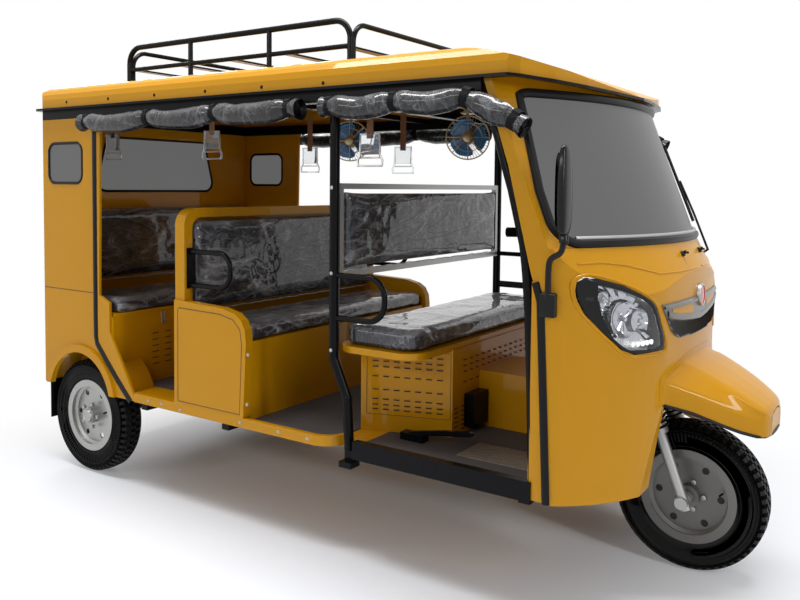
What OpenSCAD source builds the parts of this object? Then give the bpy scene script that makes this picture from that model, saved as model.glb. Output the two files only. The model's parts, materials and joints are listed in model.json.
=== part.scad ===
// Passenger auto rickshaw: three wheels, open sides, three benches and a roof rack.
// Every length along the vehicle is measured from the rear axle and the finished
// model is moved so that its origin is on the ground under the middle of its box.
// +X is forwards, +Y is the vehicle's left, +Z is up.

/* [Overall] */
// Distance between the rear axle and the front axle
wheelbase = 2650; // [2600:10:3300]
// Width over the body sides
body_w = 1400; // [1300:10:1700]
// Height of the roof's lower edge above the ground
gutter_z = 1748; // [1740:10:2150]
// Height of the chassis rails' top above the ground
chassis_z = 400; // [390:5:410]

/* [Wheels] */
// Tyre diameter
tyre_d = 540; // [500:2:560]
// Tyre section width
tyre_w = 112; // [90:2:120]
// Rim diameter at the bead seat
rim_d = 305; // [290:1:320]
// Diameter of the wheel's hub barrel
hub_d = 78; // [70:1:95]
// Diameter of the stub axle that a wheel turns on
stub_d = 30; // [20:1:40]
// Gap between the tyre's outer face and the body's outer face
tyre_inset = 22; // [18:1:60]
// Wall thickness of the pressed wheel disc
disc_t = 5; // [3:0.5:8]

/* [Steering] */
// Backward lean of the steering axis in degrees
rake = 20; // [15:1:25]
// Distance between the two fork legs
fork_w = 210; // [190:5:240]
// Diameter of a fork leg
fork_leg_d = 40; // [30:1:46]
// Diameter of the steering stem
stem_d = 30; // [22:1:36]
// Diameter of the handlebar tube
bar_d = 25; // [20:1:30]

/* [Sheet metal] */
// Thickness of the body walls
wall = 12; // [8:1:16]
// Thickness of the floor pan
floor_t = 25; // [15:1:30]
// Height of the floor's edge lip above the floor
lip_h = 15; // [8:1:20]
// Thickness of the rubber mats
mat_t = 5; // [3:1:8]
// Thickness of the roof shell
roof_t = 12; // [8:1:16]
// Thickness of the glass
glass_t = 6; // [4:1:8]
// Radius of the rear wheel opening in the side panel
arch_r = 235; // [225:1:245]

/* [Frame tubes] */
// Diameter of the door pillar tubes
pillar_d = 38; // [28:1:42]
// Diameter of the grab handles
handle_d = 22; // [16:1:28]
// Diameter of the rack's main tubes
rack_d = 25; // [18:1:32]
// Height of the rack's top rail above the gutter
rack_h = 290; // [220:5:360]
// Length of the rack
rack_l = 1340; // [1100:10:1500]
// Width between the rack's side rails
rack_w = 1000; // [800:10:1100]
// Width of a chassis rail
rail_w = 40; // [30:1:60]
// Depth of a chassis rail
rail_h = 60; // [50:1:80]

/* [Benches] */
// Height of the rear seat board above the ground
rear_seat_z = 785; // [760:1:800]
// Height of the middle seat board above the ground
middle_seat_z = 747; // [730:1:760]
// Height of the driver's seat board above the ground
driver_seat_z = 785; // [775:1:810]
// Thickness of the seat cushions
cushion_t = 65; // [50:1:75]
// Depth of the middle bench's cushion
middle_cushion_l = 350; // [300:5:355]
// Diameter of the rear lid's hinge knuckles
knuckle_d = 18; // [14:1:20]
// Diameter of the rear lid's hinge pins
hinge_pin_d = 8; // [5:1:10]

/* [Fans and curtains] */
// Outer diameter of a cabin fan's guard
fan_d = 190; // [170:2:220]
// Turn of the fans towards the right-hand doors, in degrees
fan_yaw = -58; // [-80:1:-30]
// Diameter of a rolled side curtain
roll_d = 84; // [60:1:90]

/* [Hidden] */
$fn = 48;

// Fits
gap = 0.3;        // between pieces that sit on or against each other
run_gap = 0.15;   // radial clearance of a shaft in its bore

// Places along the vehicle
tyre_r = tyre_d / 2;
hw = body_w / 2;
rear_x = -311;                     // outer face of the rear wall
roof_rear_x = rear_x - 34;         // rear edge of the roof's lip
guard_tip = 280;                   // tip of the front mudguard, ahead of the wheel's centre
guard_tip_x = wheelbase + guard_tip;
axle_shift = -(roof_rear_x + guard_tip_x) / 2;
bay_x = 372;                       // rear end of the passenger floor's lip
pillar_x = wheelbase - 1153;       // door pillar behind the driver
floor_front_x = pillar_x + 33;     // front end of the passenger floor
foot_x = pillar_x + 76;            // foot of the door pillar
bulkhead_x = wheelbase - 340;      // rear face of the front bulkhead
engine_x0 = pillar_x + 63;         // rear and front of the engine under the driver's bench
engine_x1 = pillar_x + 333;
engine_w = 440;

// Heights
floor_z = chassis_z + floor_t;
lip_z = floor_z + lip_h;
rail_z = gutter_z - 53;            // underside of the roof's side rails
sill_z = 382;                      // underside of the black driver's sill

// The windscreen is part of a leaning cylinder
screen_low_z = 1197;               // lower edge of the windscreen's seal
screen_low_x = wheelbase - 40;     // and how far forward it is in the middle
screen_r = 1215 + 3.2 * (hw - 700);
screen_lean = 21;
deck_lean = 27;

// Inner face of the side walls, and the pillar tubes' distance from the middle
in_w = hw - wall;
pillar_y = hw - 37.5;
axle_half = hw - tyre_inset - tyre_w / 2;   // middle of a rear tyre

module from_axle() translate([axle_shift, 0, 0]) children();

module both_sides() {
  children();
  mirror([0, 1, 0]) children();
}

// A round bar between two points
module rod(from, to, d, spin = 0) {
  v = to - from;
  translate(from)
    rotate([0, acos(v[2] / norm(v)), atan2(v[1], v[0])])
      rotate([0, 0, spin]) cylinder(h = norm(v), d = d);
}

// A round bar along a list of points, with a ball a little larger at each bend
module bent_rod(points, d, spin = 0) {
  for (i = [0:len(points) - 2]) rod(points[i], points[i + 1], d, spin);
  for (i = [1:len(points) - 2])
    if (spin == 0) translate(points[i]) sphere(d = d * 1.06);
    else ball(points[i], points[i + 1], d * 1.06);
}

// A ball whose poles lie along the bar that leaves it
module ball(middle, toward, d) {
  v = toward - middle;
  translate(middle) rotate([0, acos(v[2] / norm(v)), atan2(v[1], v[0])]) sphere(d = d);
}

// A block given by its lowest and highest corners
module block(low, high) translate(low) cube(high - low);

// A flat shape in the XZ plane, given thickness along Y between y0 and y1
module side_plate(y0, y1) translate([0, y1, 0]) rotate([90, 0, 0]) linear_extrude(y1 - y0) children();

// A flat shape in the YZ plane, given thickness along X between x0 and x1
module front_plate(x0, x1)
  translate([x0, 0, 0]) rotate([90, 0, 90]) linear_extrude(x1 - x0) children();

// A rectangle with round corners, given by its lowest and highest corners
module round_rect(low, high, r) {
  translate([low[0] + r, low[1]]) square([high[0] - low[0] - 2 * r, high[1] - low[1]]);
  translate([low[0], low[1] + r]) square([high[0] - low[0], high[1] - low[1] - 2 * r]);
  for (x = [low[0] + r, high[0] - r], y = [low[1] + r, high[1] - r]) translate([x, y]) circle(r);
}

// An upside-down U of tube in the XZ plane, its feet at Z = 0 and X = 0 and span
module hoop(span, rise, r, d) {
  for (x = [0, span]) translate([x, 0, 0]) cylinder(h = rise - r, d = d);
  translate([r, 0, rise]) rotate([0, 90, 0]) cylinder(h = span - 2 * r, d = d);
  translate([r, 0, rise - r]) rotate([90, 0, 0])
    rotate_extrude(angle = 90, start = 90) translate([r, 0]) circle(d = d);
  translate([span - r, 0, rise - r]) rotate([90, 0, 0])
    rotate_extrude(angle = 90) translate([r, 0]) circle(d = d);
}

// ---------------------------------------------------------------- chassis

cross_h = 40;
cross_w = 40;
rail_y = 330;
cross_xs = [rear_x + 60, 380, 900, engine_x0 - gap - cross_w, engine_x1 + gap, bulkhead_x - 40];
head_low = 470;      // head tube's ends, measured up the steering axis from the wheel's centre
head_high = 700;
head_d = stem_d + 26;

// The frame that leans back with the steering axis, its origin at the front wheel's centre
module steering_frame() translate([wheelbase, 0, tyre_r]) rotate([0, -rake, 0]) children();

module chassis_frame() color("#1c1c1e") from_axle() {
  difference() {
    union() {
      both_sides()
        block([rear_x + 40, rail_y - rail_w / 2, chassis_z - rail_h],
              [bulkhead_x, rail_y + rail_w / 2, chassis_z]);
      for (x = cross_xs)
        block([x, -rail_y, chassis_z - cross_h], [x + cross_w, rail_y, chassis_z]);
      both_sides() {
        // outriggers that carry the sills, the pillar feet and the spring eyes
        for (x = [380, 900, foot_x - 20, bulkhead_x - 40])
          block([x, rail_y, chassis_z - cross_h], [x + cross_w, hw - 35, chassis_z]);
        block([foot_x - 28, pillar_y - 28, chassis_z - 62], [foot_x + 28, pillar_y + 28, chassis_z - cross_h]);
        for (x = [spring_front_x, spring_rear_x]) {
          block([x - 15, rail_y, chassis_z - cross_h], [x + 15, spring_y + 45, chassis_z]);
          for (y = [spring_y - spring_w / 2 - gap - 6, spring_y + spring_w / 2 + gap])
            block([x - 15, y, leaf_eye_z(x) - 18], [x + 15, y + 6, chassis_z - cross_h + 1]);
        }
        // uprights of the neck behind the front wheel
        block([bulkhead_x + wall + 3, 100, chassis_z - cross_h], [bulkhead_x + wall + 43, 140, 940]);
      }
      block([bulkhead_x - 40, -rail_y, chassis_z - cross_h], [bulkhead_x + wall + 43, rail_y, chassis_z]);
      for (z = [735, 890]) block([bulkhead_x + wall + 3, -140, z], [neck_x(z + 15), 140, z + 30]);
      steering_frame() translate([0, 0, head_low]) cylinder(h = head_high - head_low, d = head_d);
    }
    steering_frame() translate([0, 0, head_low - 30])
      cylinder(h = head_high - head_low + 60, d = stem_d + 2 * run_gap);
  }
}

// Where the steering axis is at a given height
function neck_x(z) = wheelbase - (z - tyre_r) * tan(rake);

// ---------------------------------------------------------------- rear axle and springs

spring_y = 410;
spring_w = 60;
spring_front_x = 430;
spring_rear_x = -235;
axle_tube_d = 60;
leaf_t = 8;
spring_low_z = tyre_r + axle_tube_d / 2 + 6;
// rise of the main leaf from the axle to its front eye, and the radius that gives it
spring_rise = chassis_z - cross_h - 24 - spring_low_z;
spring_r = (spring_front_x * spring_front_x + spring_rise * spring_rise) / (2 * spring_rise);

module rear_axle() color("#26272a") from_axle() {
  drum_y = axle_half - 52;
  translate([0, 0, tyre_r]) {
    rotate([90, 0, 0]) translate([0, 0, -drum_y]) cylinder(h = 2 * drum_y, d = axle_tube_d);
    rotate([90, 0, 0]) translate([0, 0, -axle_half - 50]) cylinder(h = 2 * axle_half + 100, d = stub_d);
    rotate([90, 0, 0]) sphere(d = 200);
    both_sides() translate([0, drum_y, 0]) rotate([90, 0, 0]) cylinder(h = 34, d = 190);
    // nose of the differential, the propeller shaft and its front joint
    rotate([0, 90, 0]) cylinder(h = 150, d = 90);
    rod([140, 0, 0], [engine_x0 - 1.2, 0, 36], 42, 25);
  }
  both_sides() block([-40, spring_y - spring_w / 2, tyre_r], [40, spring_y + spring_w / 2, spring_low_z]);
}

// One leaf: a curved strip from rear length a to front length b
module leaf(a, b, offset_z)
  translate([0, spring_y + spring_w / 2, spring_low_z + spring_r]) rotate([90, 0, 0])
    rotate_extrude_leaf(a, b, spring_r - offset_z);

module rotate_extrude_leaf(a, b, r)
  rotate_extrude(angle = asin(a / r) + asin(b / r), start = 270 - asin(a / r), $fn = 200)
    translate([r - leaf_t, 0]) square([leaf_t, spring_w]);

module leaf_springs() color("#202022") from_axle() both_sides() {
  leaf(-spring_rear_x, spring_front_x, 0);
  for (x = [spring_front_x, spring_rear_x])
    translate([x, spring_y + spring_w / 2, leaf_eye_z(x)]) rotate([90, 0, 0]) cylinder(h = spring_w, d = 26);
  for (i = [1:2])
    translate([0, 0, leaf_t * i + 0.2 * i]) leaf(-spring_rear_x - 70 * i, spring_front_x - 120 * i, 0);
  // U-bolt clamp plate on top of the leaves
  block([-45, spring_y - spring_w / 2, spring_low_z + 3 * leaf_t], [45, spring_y + spring_w / 2, spring_low_z + 3 * leaf_t + 10]);
}

function leaf_eye_z(x) = spring_low_z + spring_r - sqrt(spring_r * spring_r - x * x) + 10;

// ---------------------------------------------------------------- wheels

// Wheel axis along +Y, outer face towards +Y, middle of the tyre at Y = 0
rim_r = rim_d / 2;
rim_half = tyre_w / 2 - 8;

module rim_profile() {
  flange = rim_r + 18;
  polygon([[rim_r - 12, -rim_half], [flange, -rim_half], [flange, -rim_half + 5], [rim_r + 2, -rim_half + 5],
           [rim_r + 2, -rim_half + 22], [rim_r - 14, -rim_half + 30], [rim_r - 14, rim_half - 30],
           [rim_r + 2, rim_half - 22], [rim_r + 2, rim_half - 5], [flange, rim_half - 5], [flange, rim_half],
           [rim_r - 12, rim_half], [rim_r - 6, rim_half - 20], [rim_r - 20, rim_half - 28],
           [rim_r - 20, -rim_half + 28], [rim_r - 6, -rim_half + 20]]);
}

module rim(hub_low, hub_high, disc_y) difference() {
  union() {
    rotate([-90, 0, 0]) rotate_extrude($fn = 96) rim_profile();
    rotate([-90, 0, 0]) translate([0, 0, disc_y]) cylinder(h = disc_t, r = rim_r - 15);
    rotate([-90, 0, 0]) translate([0, 0, hub_low]) cylinder(h = hub_high - hub_low, d = hub_d);
  }
  rotate([-90, 0, 0]) translate([0, 0, hub_low - 1])
    cylinder(h = hub_high - hub_low + 2, d = stub_d + 2 * run_gap);
  // hand holes round the disc
  for (a = [0:60:300]) rotate([0, a, 0]) translate([rim_r - 42, disc_y - 1, 0])
    rotate([-90, 0, 0]) cylinder(h = disc_t + 2, d = 26);
}

module tyre() rotate([-90, 0, 0]) rotate_extrude($fn = 96) difference() {
  tyre_section();
  offset_rim();
}

module tyre_section() {
  half = tyre_w / 2;
  shoulder = 26;
  polygon([[rim_r + 3, -rim_half + 8], [rim_r + 21, -rim_half], [rim_r + 50, -half], [tyre_r - shoulder, -half],
           [tyre_r - 6, -half + 12], [tyre_r, -half + 32], [tyre_r, half - 32], [tyre_r - 6, half - 12],
           [tyre_r - shoulder, half], [rim_r + 50, half], [rim_r + 21, rim_half], [rim_r + 3, rim_half - 8]]);
}

// Room for the rim's flanges inside the tyre
module offset_rim() {
  for (s = [-1, 1])
    translate([0, s * (rim_half + 1)]) square([2 * (rim_r + 18 + gap), 14 + 2 * gap], center = true);
}

module rear_wheel(side) {
  translate([0, side * axle_half, tyre_r]) mirror([0, side < 0 ? 1 : 0, 0]) children();
}

module front_wheel() translate([wheelbase, 0, tyre_r]) mirror([0, 1, 0]) children();

hub_face = 30;   // the disc's distance outwards from the tyre's middle
module right_rear_rim() color("#a7a49b") from_axle() rear_wheel(-1) rim(-12, hub_face + 26, hub_face - 16);
module left_rear_rim() color("#a7a49b") from_axle() rear_wheel(1) rim(-12, hub_face + 26, hub_face - 16);
module front_rim() color("#8f9090") from_axle() front_wheel() rim(-46, 46, 12);
module right_rear_tyre() color("#161616") from_axle() rear_wheel(-1) tyre();
module left_rear_tyre() color("#161616") from_axle() rear_wheel(1) tyre();
module front_tyre() color("#161616") from_axle() front_wheel() tyre();

// ---------------------------------------------------------------- steering

leg_top = 455;
module front_fork() color("#8c8e92") from_axle() steering_frame() {
  difference() {
    union() {
      both_sides() {
        translate([0, fork_w / 2, -30]) cylinder(h = leg_top + 30, d = fork_leg_d);
        translate([0, fork_w / 2, 250]) cylinder(h = 170, d = fork_leg_d + 22);
      }
      block([-40, -fork_w / 2 - 30, 405], [40, fork_w / 2 + 30, 435]);
      translate([0, 0, 430]) cylinder(h = 545, d = stem_d);
      translate([0, 0, 435]) cylinder(h = 30, d = stem_d + 20);
    }
    rotate([90, 0, 0]) translate([0, 0, -200]) cylinder(h = 400, d = axle_d + 2 * gap);
  }
}

axle_d = stub_d;
module front_axle() color("#8c8e92") from_axle() steering_frame() {
  rotate([90, 0, 0]) translate([0, 0, -fork_w / 2 - 28]) cylinder(h = fork_w + 56, d = axle_d);
  both_sides() {
    translate([0, fork_w / 2 + fork_leg_d / 2 + 12, 0]) rotate([90, 0, 0]) cylinder(h = 12 - gap, d = axle_d + 14);
    translate([0, fork_w / 2 - fork_leg_d / 2 - gap, 0]) rotate([90, 0, 0])
      cylinder(h = fork_w / 2 - fork_leg_d / 2 - gap - 46 - 5, d = axle_d + 14);
  }
}

// Handlebar in the vehicle's own directions, clamped on the stem's top
module handlebar() color("#161616") from_axle() {
  clamp = [neck_x(1205), 0, 1205];
  rod(clamp + [-5, -112, 5], clamp + [-5, 112, 5], bar_d, 40);
  both_sides() {
    bent_rod([clamp + [-5, 60, 5], clamp + [-5, 110, 5], clamp + [-105, 235, 15], clamp + [-150, 290, 18]], bar_d, 40);
    rod(clamp + [-140, 278, 17], clamp + [-235, 385, 20], bar_d + 10, 40);
  }
  steering_frame() translate([0, 0, 975 + gap]) cylinder(h = 45, d = stem_d + 24);
}

// ---------------------------------------------------------------- floor

// Plan of the passenger floor, drawn in by inset, with its round front corners
module passenger_floor_plan(inset) {
  r = 110 - inset;
  x0 = bay_x + inset * 0;
  translate([x0, -hw + inset]) square([floor_front_x - 110 - x0, 2 * (hw - inset)]);
  translate([x0, -hw + 110]) square([floor_front_x - inset - x0, 2 * (hw - 110)]);
  for (s = [-1, 1]) translate([floor_front_x - 110, s * (hw - 110)]) circle(r);
}

lip_w = 20;
tub_y = hw - 170;          // inner face of the covers over the rear wheels
tub_r = 327;               // outer radius of those covers
tub_z = 300;

module floor_pan() color("#e8a913") from_axle() difference() {
  union() {
    translate([0, 0, chassis_z]) linear_extrude(floor_t) passenger_floor_plan(0);
    difference() {
      translate([0, 0, chassis_z]) linear_extrude(lip_z - chassis_z) passenger_floor_plan(0);
      translate([0, 0, chassis_z]) linear_extrude(lip_z) passenger_floor_plan(lip_w);
      // no lip in front, where the driver's floor joins
      block([floor_front_x - 60, -hw + 110, floor_z], [floor_front_x + 10, hw - 110, lip_z + 1]);
    }
    block([rear_x + wall + gap, -tub_y + gap, chassis_z], [bay_x + 1, tub_y - gap, floor_z]);
    block([tub_r - 11, -in_w + gap, chassis_z], [bay_x + 1, in_w - gap, floor_z]);
    block([floor_front_x - 1, -hw + 110, chassis_z], [bulkhead_x - gap, hw - 110, floor_z]);
    block([foot_x + 45, -sill_in + gap, chassis_z], [bulkhead_x - gap, sill_in - gap, floor_z]);
  }
  block([engine_x0 - 15, -engine_w / 2 - 15, chassis_z - 1], [engine_x1 + 15, engine_w / 2 + 15, floor_z + 1]);
}

module floor_mats() color("#5b5654") from_axle() {
  // rear foot space, front passenger space and the driver's space
  block([rear_panel_x + 20, -tub_y + 8, floor_z + gap], [middle_x0 - 25, tub_y - 8, floor_z + mat_t]);
  intersection() {
    translate([0, 0, floor_z + gap]) linear_extrude(mat_t - gap) passenger_floor_plan(lip_w + 6);
    block([middle_x1 + 12, -hw, floor_z], [floor_front_x - 30, hw, lip_z]);
  }
  difference() {
    block([foot_x + 50, -sill_in + 6, floor_z + gap], [bulkhead_x - 6, sill_in - 6, floor_z + mat_t]);
    translate([0, 0, floor_z]) linear_extrude(lip_h) box_plan(6);
    block([foot_x, -tunnel_half - 6, floor_z], [bulkhead_x + 1, tunnel_half + 6, lip_z]);
  }
}

sill_in = hw - 32;
module driver_sills() color("#141414") from_axle() both_sides() {
  block([foot_x + 41, sill_in, sill_z], [bulkhead_x + 17, hw, lip_z + 8]);
}

// ---------------------------------------------------------------- rear body

// Side panel behind the rear door opening, seen from the side
module quarter_outline() difference() {
  polygon([[rear_x, chassis_z + 3], [rear_x, rail_z - gap], [140, rail_z - gap], [125, 867], [200, 836],
           [200, 700], [bay_x - gap, lip_z - 15], [bay_x - gap, chassis_z + 3]]);
  translate([-20, tub_z + 45]) circle(arch_r, $fn = 96);
  quarter_window_outline(0);
}

module quarter_window_outline(inset)
  round_rect([-262 + inset, gutter_z - 360 + inset], [4 - inset, gutter_z - 168 - inset], 45 - inset);

// Flared lip round the wheel opening
module arch_lip() intersection() {
  difference() {
    circle(arch_r + 36, $fn = 96);
    circle(arch_r, $fn = 96);
  }
  translate([-291, chassis_z + 3 - tub_z - 45]) square([650, 400]);
}

module quarter_panel() {
  side_plate(in_w, hw) quarter_outline();
  side_plate(hw - 1, hw + 14) translate([-20, tub_z + 45]) arch_lip();
  // cover over the wheel, inside the cabin
  intersection() {
    difference() {
      side_plate(tub_y, in_w + 1) translate([0, tub_z]) circle(tub_r, $fn = 96);
      side_plate(tub_y + wall, hw + 1) translate([0, tub_z]) circle(tub_r - wall, $fn = 96);
    }
    block([rear_x + wall + gap, 0, chassis_z], [tub_r, hw, 700]);
  }
}

module left_quarter() color("#e8a913") from_axle() quarter_panel();
module right_quarter() color("#e8a913") from_axle() mirror([0, 1, 0]) quarter_panel();

rear_window_low = gutter_z - 400;
rear_window_high = gutter_z - 112;
module rear_window_outline(inset) intersection() {
  round_rect([-400 + inset, rear_window_low + inset], [400 - inset, rear_window_high - inset], 55 - inset);
  half_low = 400 - inset;
  half_high = 340 - inset;
  polygon([[-half_low, rear_window_low], [half_low, rear_window_low], [half_low, rear_window_low + 60],
           [half_high, rear_window_high], [-half_high, rear_window_high], [-half_low, rear_window_low + 60]]);
}

plate_z = 640;            // height of the number plate's two bolt holes
plate_spacing = 180;
plate_hole_d = 6.5;
module rear_wall() color("#e8a913") from_axle() difference() {
  front_plate(rear_x, rear_x + wall) difference() {
    translate([-in_w + gap, chassis_z + 3]) square([2 * (in_w - gap), rail_z - gap - chassis_z - 3]);
    rear_window_outline(0);
  }
  for (s = [-1, 1]) translate([rear_x - 1, s * plate_spacing / 2, plate_z])
    rotate([0, 90, 0]) cylinder(h = wall + 2, d = plate_hole_d);
}

module window_glass() color("#6d6d6d") from_axle() {
  front_plate(rear_x + 3, rear_x + 3 + glass_t) rear_window_outline(gap);
  both_sides() side_plate(hw - 3 - glass_t, hw - 3) quarter_window_outline(gap);
}

module tail_lamps() color("#a01818") from_axle() both_sides() {
  front_plate(rear_x - 20, rear_x - gap) round_rect([hw - 190, 500], [hw - 60, 590], 14);
}

// ---------------------------------------------------------------- roof

roof_half = hw + 22;              // half the roof's width, without its lip
crown_z = gutter_z + 122;
visor_x = wheelbase - 222;        // tip of the sun visor
screen_top_x = screen_low_x - (gutter_z - screen_low_z) * tan(screen_lean);
screen_plan_r = screen_r * cos(screen_lean);
lip_t = 10;

// Line of the roof's lower edge: level along the sides, drooping a little in front
function roof_low(off, from_x) = [[visor_x + 60, gutter_z - 28 + off], [visor_x - 190, gutter_z + off], [from_x, gutter_z + off]];

// Roof seen from the side, its top lowered by drop
module roof_side(drop)
  polygon(concat([[rear_x - 2 + drop, gutter_z + 40], [rear_x + 3 + drop, gutter_z + 64 - drop / 2],
                  [rear_x + 18 + drop, gutter_z + 84 - drop], [rear_x + 45 + drop, gutter_z + 97 - drop],
                  [rear_x + 250, gutter_z + 112 - drop], [900, crown_z + 2 - drop], [wheelbase - 850, crown_z - 3 - drop],
                  [wheelbase - 700, crown_z - 12 - drop], [wheelbase - 546, gutter_z + 92 - drop],
                  [wheelbase - 450, gutter_z + 70 - drop], [wheelbase - 381, gutter_z + 51 - drop],
                  [wheelbase - 301, gutter_z + 24 - drop / 2], [wheelbase - 250, gutter_z - 3],
                  [visor_x + 2, gutter_z - 19]],
                 roof_low(0, rear_x - 2 + drop)));

module roof_section(drop) {
  e = roof_half - drop;
  half = [[e, gutter_z - 80], [e, gutter_z + 40], [e - 5, gutter_z + 64 - drop / 2], [e - 18, gutter_z + 84 - drop],
          [e - 38, gutter_z + 97 - drop], [e - 60, gutter_z + 103 - drop], [e - 170, gutter_z + 111 - drop],
          [e - 370, gutter_z + 119 - drop], [0, crown_z - drop]];
  polygon(concat(half, [for (i = [7:-1:0]) [-half[i][0], half[i][1]]]));
}

// Plan of the roof: round rear corners, straight sides and a bowed visor in front
module roof_plan(grow) {
  e = roof_half + grow;
  back = grow > 0 ? roof_rear_x : rear_x - 2 - grow;
  front = [[visor_x - 195, e], [visor_x - 160, e - 22], [visor_x - 128, e - 100], [visor_x - 97, e - 162],
           [visor_x - 55, e - 322], [visor_x - 22, e - 522]];
  half = [for (p = front) [p[0] + grow * (1 - p[1] / e * 0.7), p[1]]];
  r = 50;
  difference() {
    polygon(concat([[back, e]], half, [[visor_x + grow, 0]], [for (i = [5:-1:0]) [half[i][0], -half[i][1]]], [[back, -e]]));
    for (s = [-1, 1]) difference() {
      translate([back - 1, s * (e - r / 2 + 0.5) - r / 2 - 0.5]) square([r + 1, r + 1]);
      translate([back + r, s * (e - r)]) circle(r);
    }
  }
}

module roof_form(drop) intersection() {
  side_plate(-hw - 100, hw + 100) roof_side(drop);
  front_plate(rear_x - 60, visor_x + 70) roof_section(drop);
  translate([0, 0, gutter_z - 200]) linear_extrude(400) roof_plan(-drop);
}

module roof_shell() color("#f0b41c") from_axle() difference() {
  roof_form(0);
  intersection() {
    roof_form(roof_t);
    union() {
      translate([screen_top_x - screen_plan_r - 9, 0, gutter_z - 100]) cylinder(h = 300, r = screen_plan_r, $fn = 240);
      block([rear_x - 100, -hw - 100, gutter_z - 100], [screen_top_x - screen_plan_r, hw + 100, gutter_z + 200]);
    }
  }
  // room for the top of the cowl, where the visor droops below the gutter
  cowl_form(-gap, 90);
}

bow_xs = [pillar_x - 440, pillar_x + 193];     // roof bows that carry the two fans
bow_h = 25;
module roof_rails() color("#141414") from_axle() {
  top = gutter_z - gap;
  // dark lip round the roof's lower edge
  difference() {
    intersection() {
      side_plate(-hw - 100, hw + 100)
        polygon(concat(roof_low(-gap, rear_x - 100),
                       [for (i = [2:-1:0]) roof_low(-gap - lip_t, rear_x - 100)[i]]));
      translate([0, 0, gutter_z - 100]) linear_extrude(200) difference() {
        roof_plan(14);
        roof_plan(-24);
      }
    }
    cowl_form(-gap, 90);
  }
  both_sides() {
    block([rear_x, hw - 45, rail_z], [wheelbase - 521, hw, top]);
  }
  for (x = [rear_x, pillar_x - 20, wheelbase - 561])
    block([x, -hw + 40, rail_z], [x + 40, hw - 40, top]);
  for (x = bow_xs) block([x - 15, -hw + 40, top - bow_h], [x + 15, hw - 40, top]);
}

rack_x0 = pillar_x - 1397;        // rear end of the rack
rack_z = gutter_z + 187;          // middle of the rack's lower rail
slat_t = 8;
slat_w = 40;
module roof_rack() color("#141414") from_axle() difference() {
  union() {
    both_sides() translate([rack_x0, rack_w / 2, gutter_z + 70]) hoop(rack_l, rack_h - 70, 75, rack_d);
    both_sides() {
      rod([rack_x0, rack_w / 2, rack_z], [rack_x0 + rack_l, rack_w / 2, rack_z], rack_d - 5);
      for (x = [0.32, 0.68])
        rod([rack_x0 + rack_l * x, rack_w / 2, gutter_z + 70], [rack_x0 + rack_l * x, rack_w / 2, gutter_z + rack_h], rack_d - 3);
    }
    for (x = [rack_x0, rack_x0 + rack_l])
      translate([x, rack_w / 2 - 20, gutter_z + 70]) rotate([0, 0, -90]) hoop(rack_w - 40, rack_h - 82, 75, rack_d - 4);
    for (x = [0.02, 0.26, 0.5, 0.74, 0.98])
      block([rack_x0 + rack_l * x - slat_w / 2, -rack_w / 2, rack_z - slat_t / 2],
            [rack_x0 + rack_l * x + slat_w / 2, rack_w / 2, rack_z + slat_t / 2]);
  }
  translate([0, 0, gap]) roof_form(0);
}

// ---------------------------------------------------------------- pillars and handles

// Line of the front pillar and of the cowl's rear edge: distance from the front axle, height
top_run = rail_z - 1459 - (gutter_z - 1748);
front_pillar = [[-281, sill_z], [-325, 1029], [-355, 1123], [-439, 1459], [-521, rail_z]];

module pillar_tubes() color("#141414") from_axle() both_sides() difference() {
  union() {
    bent_rod([[foot_x, pillar_y, chassis_z + gap], [foot_x - 11, pillar_y, 595],
              [pillar_x, pillar_y, 736], [pillar_x, pillar_y, rail_z + 10]], pillar_d);
    bent_rod([for (p = concat([[-281, sill_z]], [for (i = [1:3]) front_pillar[i]], [[-521 - 7, rail_z + 24]]))
              [wheelbase + p[0], pillar_y, p[1]]], pillar_d - 4);
  }
  block([0, 0, rail_z - gap], [wheelbase, hw + 10, rail_z + 100]);
  block([foot_x - 60, pillar_y - 40, chassis_z - 60], [foot_x + 60, pillar_y + 40, chassis_z + gap]);
  // seat for the driver's sill
  block([foot_x + 41 - gap, sill_in - gap, sill_z - 50], [bulkhead_x + 17 + gap, hw + 1, lip_z + 8 + gap]);
}

// A D-shaped handle in the XZ plane on a plate
module d_handle(length, height) {
  r = height / 2 - 8;
  translate([0, 0, height]) rotate([0, 90, 0]) cylinder(h = length - r, d = handle_d);
  rotate([0, 90, 0]) cylinder(h = length - r, d = handle_d);
  translate([length - r, 0, height - r]) rotate([90, 0, 0])
    rotate_extrude(angle = 90) translate([r, 0]) circle(d = handle_d);
  translate([length - r, 0, r]) rotate([90, 0, 0])
    rotate_extrude(angle = 90, start = 270) translate([r, 0]) circle(d = handle_d);
  translate([length, 0, r]) cylinder(h = height - 2 * r, d = handle_d);
}

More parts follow.
